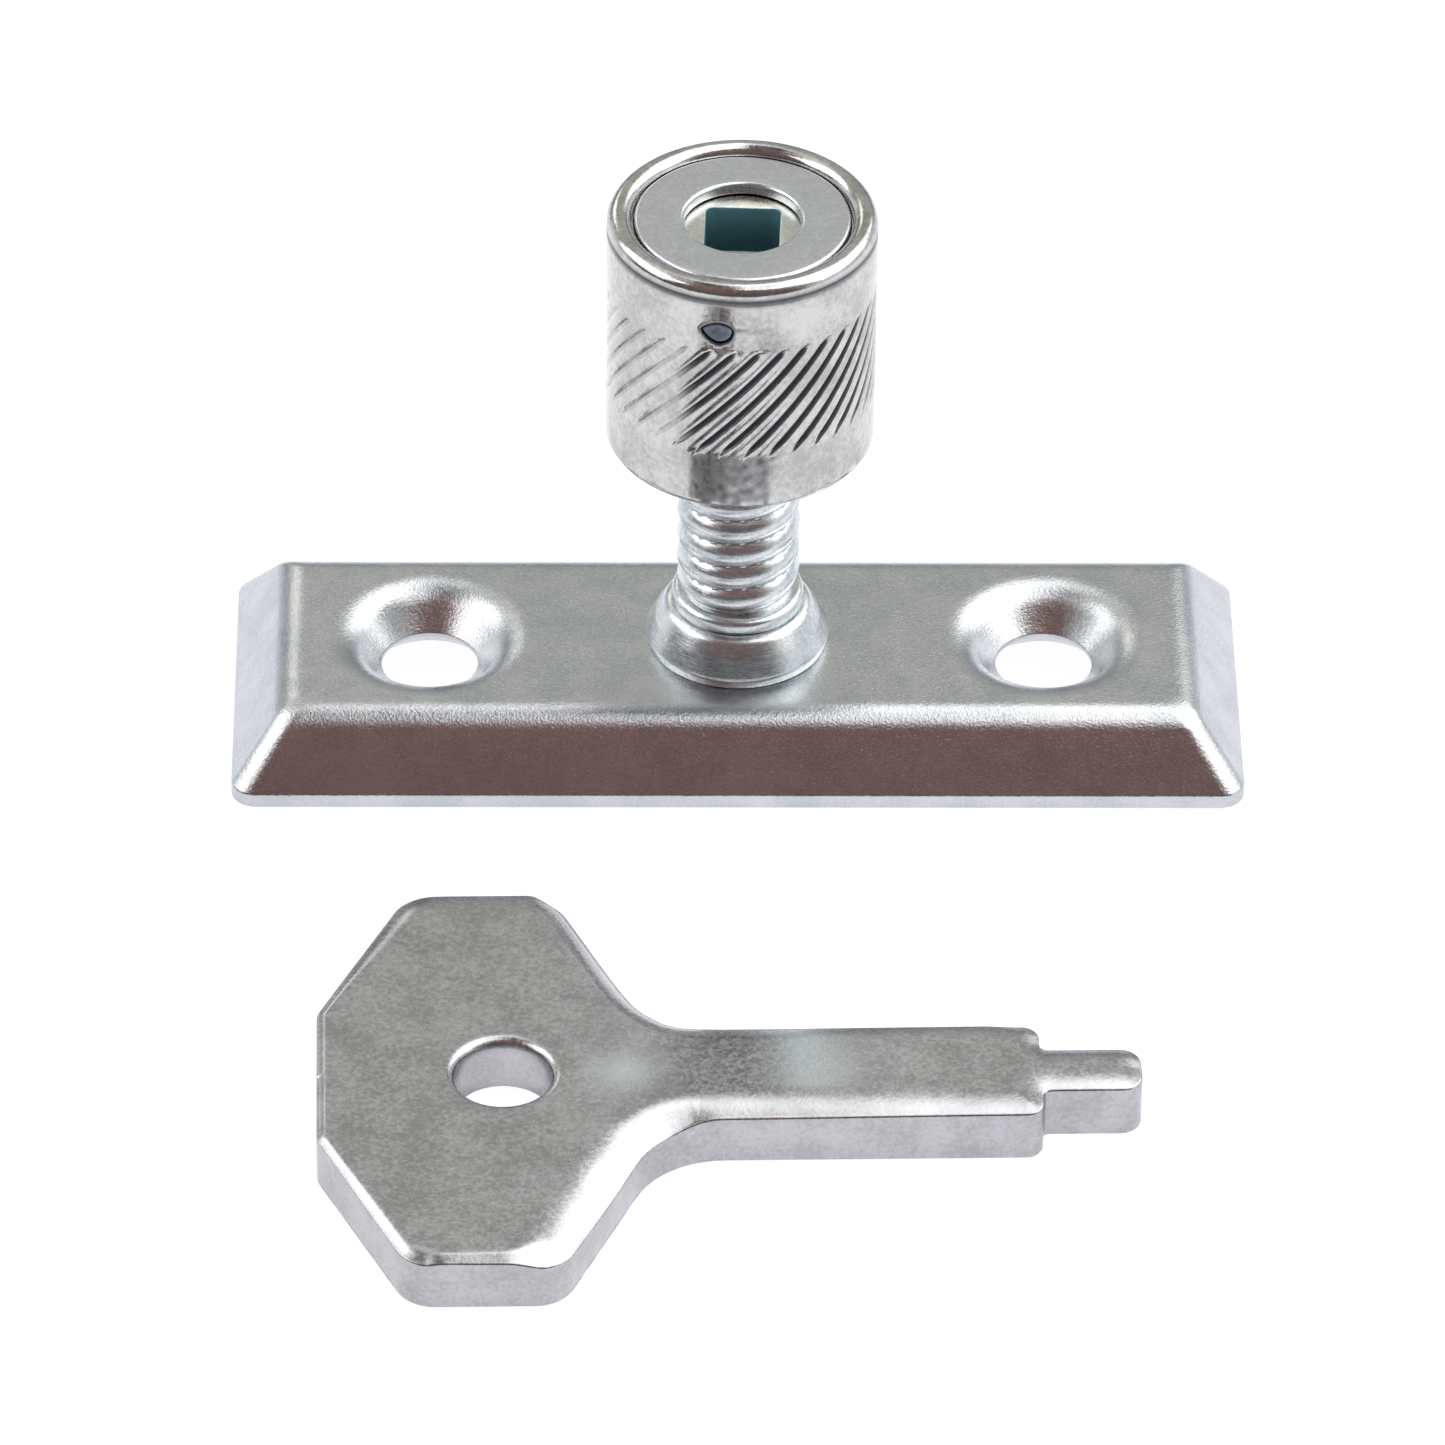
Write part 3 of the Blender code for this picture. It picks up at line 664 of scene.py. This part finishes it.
def cut_pin_hole(bm, shade_and_stain):
    """Cuts a blind hole for the retaining pin through the knurled shell's outside, and the scratch beside it
    where the punch slipped."""
    bearing = math.atan2(PIN_MIDDLE.y, PIN_MIDDLE.x)
    centre = on_wall(bearing, PIN_MIDDLE.z)
    outward = Vector((math.cos(bearing), math.sin(bearing), 0))
    along = Vector((-outward.y, outward.x, 0))

    def offset(point):
        return Vector((SHELL_RADIUS * math.asin(point.dot(along) / SHELL_RADIUS), point.z - centre.z))

    def near(point):
        return point.dot(outward) > SHELL_RADIUS * 0.88

    def in_hole(face):
        place = offset(face.calc_center_median())
        return place.length < mark_radius(*place)

    for vert in bm.verts:
        place = offset(vert.co) / MM if near(vert.co) else Vector((0, 0))
        if 0.8 < place.x < 3.2:
            stain = 1 - abs(place.y - 0.1 + 0.06 * math.sin(4 * place.x)) / 0.17
            vert[shade_and_stain] = max(vert[shade_and_stain], 0.7 * stain * (1.3 - 0.4 * place.x))
    inside = [face for face in bm.faces if near(face.calc_center_median()) and in_hole(face)]
    bmesh.ops.delete(bm, geom=inside, context="FACES")
    around = open_edges(bm, near)
    for vert in {vert for edge in around for vert in edge.verts}:
        place = offset(vert.co)
        place *= mark_radius(*place) / place.length
        vert.co = on_wall(bearing + place.x / SHELL_RADIUS, centre.z + place.y)
        # Painted shade round the hole's edge
        vert[shade_and_stain] = 0.8
    for depth, narrower in ((0.06, 0.05), (0.3, 0.06), (0.75, 0.06)):
        points, around = extruded(bm, around)
        for vert in points:
            place = offset(vert.co)
            place *= (mark_radius(*place) - narrower * MM) / place.length
            vert.co = on_wall(bearing + place.x / SHELL_RADIUS, centre.z + place.y)
            set_radius(vert.co, SHELL_RADIUS - depth * MM)
            # Painted shade down the hole's walls
            vert[shade_and_stain] = 1
    bmesh.ops.edgeloop_fill(bm, edges=around)


def make_disc(sizes):
    edge, step = DISC_SIZE.x / 2, sizes.disc_step
    lip = NUT_TOP + 0.1 * MM  # the hole's edge is turned down almost to the nut
    profile = rounded_path(
        [
            (sizes.disc_hole, lip, 0.08 * MM),
            (sizes.disc_hole + sizes.disc_sheet, lip, 0.08 * MM),
            (sizes.disc_hole + sizes.disc_sheet, DISC_TOP - sizes.disc_sheet, 0.04 * MM),
            (step - sizes.disc_sheet, DISC_TOP - sizes.disc_sheet, 0.05 * MM),
            (step - sizes.disc_sheet, DISC_BOTTOM, 0.05 * MM),
            (edge, DISC_BOTTOM, 0.08 * MM),
            (edge, DISC_BOTTOM + sizes.disc_sheet, 0.08 * MM),
            (step, DISC_BOTTOM + sizes.disc_sheet, 0.05 * MM),
            (step, DISC_TOP, 0.2 * MM),
            (sizes.disc_hole, DISC_TOP, 0.2 * MM),
        ],
        steps=6,
        closed=True,
    )
    bm = bmesh.new()
    spun(bm, filled_in(profile, 0.5 * MM, closed=True), 120, ring=True)
    zinc = plated(
        "stamped_zinc_plated_disc",
        sizes.disc_tone,
        linear("#cccfd4"),
        (0.22, 0.3),
        0.25 * MM,
        0.002 * MM,
        streaks=0.3,
    )
    finish_piece("stamped_disc", bm, "barrel", "cover_disc", zinc)


def make_nut(sizes, peg):
    half = sizes.socket / 2
    around_socket = half * 1.75
    bore_top = Vector((sizes.bore_radius, sizes.web_bottom))
    rings = filled_in([bore_top, Vector((sizes.bore_radius, NUT_BOTTOM))], THREAD_PITCH / 10)
    steps = 64
    outside = rounded_path(
        [
            (sizes.bore_radius, NUT_BOTTOM, 0),
            (NUT_SIZE.x / 2, NUT_BOTTOM, 0.2 * MM),
            (NUT_SIZE.x / 2, sizes.shoulder_height, 0.15 * MM),
            (sizes.neck_radius, sizes.shoulder_height, 0),
            (sizes.neck_radius, NUT_TOP, 0.15 * MM),
            (around_socket, NUT_TOP, 0),
        ],
        steps=4,
    )
    socket = [
        Vector((half + 0.12 * MM, NUT_TOP)),
        Vector((half + 0.04 * MM, NUT_TOP - 0.03 * MM)),
        Vector((half, NUT_TOP - 0.12 * MM)),
        Vector((half, sizes.web_bottom)),
    ]
    bm = bmesh.new()
    spun(bm, rings + outside[1:] + socket, steps, ring=True)
    shade_and_stain = bm.verts.layers.float.new("shade_and_stain")
    for vert in bm.verts:
        radius, height = vert.co.xy.length, vert.co.z
        bearing = math.atan2(vert.co.y, vert.co.x)
        if radius < half + 0.2 * MM:
            vert[shade_and_stain] = 1 if height < NUT_TOP - 0.02 * MM else 0
            off_flat = (bearing + math.pi / 4) % (math.pi / 2) - math.pi / 4
            corner = min(1 / math.cos(off_flat), 1.34)
            set_radius(vert.co, radius * corner)
            vert.co.xy = Matrix.Rotation(sizes.socket_turn, 2) @ vert.co.xy
        elif radius < sizes.bore_radius + 0.01 * MM and height < sizes.web_bottom - 0.01 * MM:
            runout = eased((height - NUT_BOTTOM) / THREAD_PITCH) * eased(
                (sizes.web_bottom - height) / THREAD_PITCH
            )
            wave = thread_wave(vert.co, peg.thread_start)
            set_radius(vert.co, sizes.bore_radius - peg.thread_depth * (1 - wave) * runout)
    zinc = plated(
        "zinc_plated_nut",
        sizes.nut_tone,
        linear("#c9cbc4"),
        (0.2, 0.3),
        0.3 * MM,
        0.006 * MM,
        streaks=0.3,
    )
    add_shade_and_stain_look(zinc, sizes.socket_tone, 0.4)
    finish_piece("socket_nut", bm, "nut", "lock_nut", zinc, sharp=35)


def make_pin(sizes):
    """A round pin whose outer end the punch smeared to the shape of the mark."""
    bearing = math.atan2(PIN_MIDDLE.y, PIN_MIDDLE.x)
    inner = 4.66 * MM
    outer = SHELL_RADIUS - 0.04 * MM
    radius = sizes.pin_radius * 0.86
    profile = rounded_path(
        [(0, inner, 0), (radius, inner, 0.1 * MM), (radius, outer, 0.25 * MM), (0, outer, 0)]
    )
    bm = bmesh.new()
    spun(bm, filled_in(profile, 0.3 * MM), 32)
    for vert in bm.verts:
        distance = vert.co.xy.length
        if distance > 0.01 * MM:
            smeared = eased((vert.co.z - (outer - 0.9 * MM)) / (0.5 * MM))
            fit = mark_radius(vert.co.y, -vert.co.x) * 0.93 / radius
            set_radius(vert.co, distance * (1 + (fit - 1) * smeared))
    bmesh.ops.rotate(bm, verts=bm.verts, cent=(0, 0, 0), matrix=Matrix.Rotation(math.pi / 2, 3, "Y"))
    bmesh.ops.rotate(bm, verts=bm.verts, cent=(0, 0, 0), matrix=Matrix.Rotation(bearing, 3, "Z"))
    bmesh.ops.translate(bm, verts=bm.verts, vec=(0, 0, PIN_MIDDLE.z))
    steel = plated(
        "ground_steel_pin",
        sizes.pin_tone,
        linear("#4f545e"),
        (0.3, 0.42),
        0.2 * MM,
        0.01 * MM,
        streaks=0.3,
    )
    finish_piece("domed_pin", bm, "barrel", "retaining_pin", steel)


def finish_washer():
    """The wave washer is hidden in the barrel, so its CAD shape stays and only its finish is new."""
    steel = plated(
        "rolled_spring_steel",
        linear("#9b9da3"),
        linear("#74777e"),
        (0.22, 0.34),
        0.2 * MM,
        0.004 * MM,
        streaks=0.3,
    )
    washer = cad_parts["wave_washer"]
    if not washer.material_slots:
        washer.data.materials.append(steel)
    for held in washer.material_slots:
        held.material = steel


# The key


def key_outline(sizes):
    """The far half of the key's plan from the bow's end to the tip's end, with its hole at the origin."""
    end = -sizes.bow_to_hole
    far = sizes.bow_length / 2
    shank_side = end + sizes.bow_width
    run = far - sizes.bow_side / 2
    at_shank = shank_side - (sizes.shank_width - sizes.bow_side) / 2 * sizes.bow_chamfer / run
    corners = [
        (end, 0, 0),
        (end, sizes.bow_side / 2, 1.4 * MM),
        (end + sizes.bow_chamfer, far, 2.2 * MM),
        (shank_side - sizes.bow_chamfer, far, 2.2 * MM),
        (at_shank, sizes.shank_width / 2, 5.0 * MM),
        (sizes.shank_reach, sizes.shank_width / 2, 0.9 * MM),
        (sizes.shank_reach, sizes.tip_width / 2, 0.4 * MM),
        (sizes.shank_reach + sizes.tip_length, sizes.tip_width / 2, 1.1 * MM),
        (sizes.shank_reach + sizes.tip_length, 0, 0),
    ]
    return filled_in(rounded_path(corners, steps=10)[1:-1], 0.27 * MM)


# Place along the key, width and drop of the die roll, in millimetres
NEAR_ROLL = (
    (-9.55, 0.4, 0.2),
    (-6, 0.6, 0.3),
    (-4.3, 0.9, 0.35),
    (-3.2, 0.35, 0.2),
    (0, 0.5, 0.24),
    (2.4, 2.2, 0.6),
    (5.5, 2.4, 0.9),
    (8, 2.1, 0.75),
    (11, 1.8, 0.3),
    (26, 1.8, 0.2),
    (29, 1.3, 0.14),
    (33, 1.3, 0.14),
)
FAR_ROLL = (
    (-9.55, 0.4, 0.15),
    (-5, 1.3, 0.35),
    (-3, 1.8, 0.25),
    (1.5, 1.8, 0.25),
    (3, 1.4, 0.7),
    (6, 1.4, 0.95),
    (8, 1.3, 0.6),
    (11, 1.0, 0.2),
    (24.8, 1.1, 0.15),
    (26.6, 1.2, 0.24),
    (28.7, 1.2, 0.26),
    (33, 1.2, 0.26),
)


def rolled_edge(point):
    """Width and drop of the die roll at a point on the key's outline. It is largest on the slants between the
    bow and the shank, where the blank was pulled furthest into the die."""
    stops = NEAR_ROLL if point.y < 0 else FAR_ROLL
    width = between([(place, width) for place, width, _ in stops], point.x / MM)
    drop = between([(place, drop) for place, _, drop in stops], point.x / MM)
    return width * MM, drop * MM


def make_key(sizes):
    thickness = KEY_SIZE.z
    edge_radius = 0.14 * MM
    outline = key_outline(sizes)
    normals = []
    for index in range(len(outline)):
        ahead = outline[min(index + 1, len(outline) - 1)] - outline[max(index - 1, 0)]
        normals.append(Vector((-ahead.y, ahead.x)).normalized())
    normals[0], normals[-1] = Vector((-1, 0)), Vector((1, 0))

    columns, rows = len(outline) - 1, 112
    bm = bmesh.new()
    bmesh.ops.create_grid(bm, x_segments=columns, y_segments=rows, size=1)
    outward = bm.verts.layers.float_vector.new("outward")
    rim_place = bm.verts.layers.float_vector.new("rim_place")
    shade_and_stain = bm.verts.layers.float.new("shade_and_stain")
    rim = [vert for vert in bm.verts if vert.is_boundary]
    for vert in bm.verts:
        column, side = round((vert.co.x + 1) / 2 * columns), vert.co.y
        normal = normals[column]
        inner = outline[column] - normal * edge_radius
        vert[outward] = (normal.x, normal.y * side if abs(side) > 0.999 else 0, 0)
        vert.co = (inner.x, inner.y * side, thickness)
    inside = [vert for vert in bm.verts if not vert.is_boundary]
    for _ in range(60):
        bmesh.ops.smooth_vert(bm, verts=inside, factor=0.5, use_axis_x=True, use_axis_y=True)

    mouth = sizes.hole_radius + 0.5 * MM
    over_hole = [face for face in bm.faces if face.calc_center_median().xy.length < mouth]
    bmesh.ops.delete(bm, geom=over_hole, context="FACES")
    hole_loop = open_edges(bm, lambda middle: middle.xy.length < mouth + MM)
    for vert in {vert for edge in hole_loop for vert in edge.verts}:
        set_radius(vert.co, mouth)
    inside = [vert for vert in bm.verts if not vert.is_boundary]
    for _ in range(6):
        bmesh.ops.smooth_vert(bm, verts=inside, factor=0.5, use_axis_x=True, use_axis_y=True)

    ends = (outline[0], outline[-1])
    edge_line = filled_in([Vector((ends[0].x, 0)), *outline, Vector((ends[1].x, 0))], 0.03 * MM)
    tree = KDTree(2 * len(edge_line))
    for index, point in enumerate(edge_line):
        tree.insert((point.x, point.y, 0), 2 * index)
        tree.insert((point.x, -point.y, 0), 2 * index + 1)
    tree.balance()
    for vert in bm.verts:
        nearest, _, distance = tree.find((vert.co.x, vert.co.y, 0))
        width, drop = rolled_edge(nearest)
        vert.co.z -= drop * max(0, 1 - (distance - edge_radius) / width) ** 2
        off_bow = Vector(((vert.co.x - 6.2 * MM) / 2.6, vert.co.y / 2)).length / (1.25 * MM)
        off_shank = abs(vert.co.x - 15.2 * MM) / (3.4 * MM)
        on_shank = 0.7 * max(0, 1 - off_shank) * eased(vert.co.y / MM + 2)
        vert[shade_and_stain] = eased(max(0.8 * max(0, 1 - off_bow), on_shank))
    for vert in rim:
        vert[rim_place] = vert.co

    loop = open_edges(bm, lambda middle: middle.xy.length > mouth + 0.5 * MM)
    turn = [math.radians(18 * step) for step in range(1, 6)]
    steps = [(math.sin(a), 1 - math.cos(a), 1) for a in turn] + [(1, 1, up) for up in (0.75, 0.5, 0.25, 0.04)]
    for out, down, up in steps + [(0.6, 1, 0)]:
        points, loop = extruded(bm, loop)
        for vert in points:
            vert.co = vert[rim_place] + vert[outward] * edge_radius * out
            vert.co.z = (vert.co.z - edge_radius * down) * up
            if 0 < up < 1:
                dent = noise.noise(vert.co / (1.3 * MM)) * 0.03 * MM
                vert.co -= vert[outward] * max(0, dent)
    hole_radius, roll = sizes.hole_radius, 0.5 * MM
    hole_steps = [
        (hole_radius + roll * (1 - math.sin(a)), thickness - roll * (1 - math.cos(a))) for a in turn
    ]
    for radius, height in hole_steps + [(hole_radius, 0.12 * MM), (hole_radius + 0.12 * MM, 0)]:
        points, hole_loop = extruded(bm, hole_loop)
        for vert in points:
            set_radius(vert.co, radius)
            vert.co.z = height
    bmesh.ops.triangle_fill(bm, edges=loop + hole_loop, use_beauty=True)

    low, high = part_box("key")
    hole = (low.x + sizes.bow_to_hole + 0.08 * MM, (low.y + high.y) / 2, 0)
    bmesh.ops.rotate(bm, verts=bm.verts, cent=(0, 0, 0), matrix=Matrix.Rotation(sizes.turn, 3, "Z"))
    bmesh.ops.translate(bm, verts=bm.verts, vec=hole)
    zinc = plated("stamped_zinc_plated_bar", sizes.light, sizes.dark, (0.2, 0.32), 0.25 * MM, 0.008 * MM)
    add_shade_and_stain_look(zinc, sizes.bloom, 0.25)
    finish_piece("stamped_key", bm, "key", "key", zinc)


# The table, the light and the camera


def soft_light(name, place, aim, width, height, radiance, tint):
    """A square softbox of a given brightness, aimed at a point. Lengths are in metres."""
    light = bpy.data.lights.new(name, "AREA")
    light.shape = "RECTANGLE"
    light.size, light.size_y = width, height
    light.energy = radiance * math.pi * width * height
    light.color = tint
    box = bpy.data.objects.new(name, light)
    box.location = place
    box.rotation_mode = "QUATERNION"
    box.rotation_quaternion = (Vector(aim) - Vector(place)).to_track_quat("-Z", "Y")
    box.visible_camera = False
    bpy.context.scene.collection.objects.link(box)


def studio_world():
    """A studio seen in the metal: a bright horizon, pale walls, a dim ceiling, and a dark, warm side behind
    the camera."""
    world = bpy.data.worlds.new("studio")
    bpy.context.scene.world = world
    world.use_nodes = True
    tree = world.node_tree
    way = add_node(tree, "ShaderNodeTexCoord").outputs["Generated"]
    axes = add_node(tree, "ShaderNodeSeparateXYZ", {0: way})

    def ramp(value, start, end):
        return add_node(
            tree,
            "ShaderNodeMapRange",
            {"Value": value, "From Min": start, "From Max": end},
            interpolation_type="SMOOTHSTEP",
        ).outputs[0]

    def mix(amount, first, second):
        return add_node(tree, "ShaderNodeMix", {0: amount, 6: first, 7: second}, data_type="RGBA").outputs[2]

    horizon, back = (0.85, 0.88, 0.94, 1), (0.27, 0.3, 0.34, 1)
    wall, cornice, ceiling = (0.55, 0.55, 0.51, 1), (1.0, 1.0, 0.98, 1), (0.12, 0.12, 0.12, 1)
    dark, brown, russet = (0.13, 0.13, 0.14, 1), (0.17, 0.13, 0.12, 1), (0.33, 0.17, 0.15, 1)
    low = mix(ramp(axes.outputs["Y"], 0.72, 0.9), horizon, back)
    high = mix(ramp(axes.outputs["Z"], 0.72, 0.84), wall, cornice)
    high = mix(ramp(axes.outputs["Z"], 0.9, 0.96), high, ceiling)
    bright_side = mix(ramp(axes.outputs["Z"], 0.2, 0.36), low, high)
    patches = add_node(tree, "ShaderNodeTexNoise", {"Vector": way, "Scale": 9, "Detail": 2})
    warm = mix(ramp(patches.outputs["Fac"], 0.4, 0.6), brown, russet)
    dark_side = mix(ramp(axes.outputs["Z"], 0.4, 0.55), dark, warm)
    # The dark side lies in front and to the left
    ahead = add_node(
        tree,
        "ShaderNodeMath",
        {0: axes.outputs["X"], 1: 0.45, 2: axes.outputs["Y"]},
        operation="MULTIPLY_ADD",
    )
    sky = mix(ramp(ahead.outputs[0], -0.12, -0.42), bright_side, dark_side)
    tree.links.new(sky, tree.nodes["Background"].inputs["Color"])


def make_stage(settings):
    bm = bmesh.new()
    bmesh.ops.create_grid(bm, x_segments=2, y_segments=2, size=3)
    bmesh.ops.translate(bm, verts=bm.verts, vec=(0, 0, -0.01 * MM))
    mesh = bpy.data.meshes.new("table")
    bm.to_mesh(mesh)
    bm.free()
    table = bpy.data.objects.new("table", mesh)
    bpy.context.scene.collection.objects.link(table)
    acrylic = bpy.data.materials.new("lit_white_acrylic")
    acrylic.use_nodes = True
    shader = acrylic.node_tree.nodes["Principled BSDF"]
    shader.inputs["Base Color"].default_value = (*settings.table_tone, 1)
    shader.inputs["Roughness"].default_value = 0.7
    shader.inputs["Specular IOR Level"].default_value = 0.1
    shader.inputs["Emission Color"].default_value = (0.95, 0.95, 0.99, 1)
    shader.inputs["Emission Strength"].default_value = 0.96
    mesh.materials.append(acrylic)

    studio_world()
    aim = (0, 0, 0.01)
    soft_light("left_softbox", (-0.3, 0.02, 0.26), aim, 0.38, 0.25, 2.2, (1, 1, 1))
    soft_light("right_softbox", (0.3, 0.02, 0.26), aim, 0.38, 0.25, 1.8, (1, 1, 1))
    soft_light("overhead_softbox", (0.172, 0.05, 0.38), (0.172, 0.05, 0), 0.354, 0.4, 1.8, (1, 1, 1))
    soft_light("back_right_softbox", (0.259, 0.242, 0.277), aim, 0.22, 0.2, 1.5, (1, 1, 1))
    soft_light("back_left_softbox", (-0.171, 0.402, 0.242), aim, 0.13, 0.11, 1.6, (1, 0.98, 0.91))

    camera = bpy.data.cameras.new("camera")
    camera.lens, camera.sensor_width = settings.lens, 36
    camera.clip_start, camera.clip_end = 0.01, 20
    holder = bpy.data.objects.new("camera", camera)
    bpy.context.scene.collection.objects.link(holder)
    bpy.context.scene.camera = holder
    bearing, elevation = settings.bearing, settings.elevation
    level_reach = math.cos(elevation)
    back = Vector(
        (math.sin(bearing) * level_reach, -math.cos(bearing) * level_reach, math.sin(elevation))
    )
    level = Vector((0, 0, 1)).cross(back).normalized()
    upright = back.cross(level)
    right = level * math.cos(settings.roll) + upright * math.sin(settings.roll)
    up = upright * math.cos(settings.roll) - level * math.sin(settings.roll)
    place = right * settings.aim_right + up * settings.aim_up + back * settings.distance
    holder.matrix_world = Matrix.Translation(place) @ Matrix((right, up, back)).transposed().to_4x4()
    bpy.context.scene.view_settings.view_transform = "Standard"


# The add-on


class STAYPEG_OT_stage(Operator):
    """Lay the pale table, hang the soft lights and place the camera"""

    bl_idname = "stay_peg.stage"
    bl_label = "Stage"

    def execute(self, context):
        make_stage(context.scene.stay_peg_stage)
        return {"FINISHED"}


class STAYPEG_OT_plate(Operator):
    """Press the base plate with its skirts, dimples and screw holes"""

    bl_idname = "stay_peg.plate"
    bl_label = "Base plate"

    def execute(self, context):
        make_plate(context.scene.stay_peg_plate)
        return {"FINISHED"}


class STAYPEG_OT_peg(Operator):
    """Turn the peg with its flange, ring and rounded thread"""

    bl_idname = "stay_peg.peg"
    bl_label = "Threaded peg"

    def execute(self, context):
        make_peg(context.scene.stay_peg_peg)
        return {"FINISHED"}


class STAYPEG_OT_barrel(Operator):
    """Draw the barrel's cup, roll its rim and cut its knurl"""

    bl_idname = "stay_peg.barrel"
    bl_label = "Barrel"

    def execute(self, context):
        make_shell(context.scene.stay_peg_barrel)
        return {"FINISHED"}


class STAYPEG_OT_lock(Operator):
    """Make what the barrel holds: the cover disc, the socket nut and the pin"""

    bl_idname = "stay_peg.lock"
    bl_label = "Disc, nut and pin"

    def execute(self, context):
        sizes = context.scene.stay_peg_lock
        make_disc(sizes)
        make_nut(sizes, context.scene.stay_peg_peg)
        make_pin(sizes)
        finish_washer()
        return {"FINISHED"}


class STAYPEG_OT_key(Operator):
    """Stamp the key with its octagonal bow and square tip"""

    bl_idname = "stay_peg.key"
    bl_label = "Key"

    def execute(self, context):
        make_key(context.scene.stay_peg_key)
        return {"FINISHED"}


class STAYPEG_PT_panel(Panel):
    bl_idname = "STAYPEG_PT_panel"
    bl_label = "Stay peg"
    bl_space_type = "VIEW_3D"
    bl_region_type = "UI"
    bl_category = "Stay peg"

    def draw(self, context):
        for operator in OPERATORS:
            self.layout.operator(operator.bl_idname)
        for name in GROUPS:
            box = self.layout.box()
            box.label(text=name.replace("_", " "))
            group = getattr(context.scene, name)
            for size in group.__annotations__:
                box.prop(group, size)


GROUPS = {
    "stay_peg_stage": StayPegStage,
    "stay_peg_plate": StayPegPlate,
    "stay_peg_peg": StayPegPeg,
    "stay_peg_barrel": StayPegBarrel,
    "stay_peg_lock": StayPegLock,
    "stay_peg_key": StayPegKey,
}
OPERATORS = (
    STAYPEG_OT_stage,
    STAYPEG_OT_plate,
    STAYPEG_OT_peg,
    STAYPEG_OT_barrel,
    STAYPEG_OT_lock,
    STAYPEG_OT_key,
)


def register():
    for cls in (*GROUPS.values(), *OPERATORS, STAYPEG_PT_panel):
        bpy.utils.register_class(cls)
    for name, group in GROUPS.items():
        setattr(bpy.types.Scene, name, PointerProperty(type=group))


def unregister():
    for name in GROUPS:
        delattr(bpy.types.Scene, name)
    for cls in (STAYPEG_PT_panel, *OPERATORS[::-1], *list(GROUPS.values())[::-1]):
        bpy.utils.unregister_class(cls)


def main():
    register()
    bpy.ops.stay_peg.stage()
    bpy.ops.stay_peg.plate()
    bpy.ops.stay_peg.peg()
    bpy.ops.stay_peg.barrel()
    bpy.ops.stay_peg.lock()
    bpy.ops.stay_peg.key()


if __name__ == "__main__":
    main()
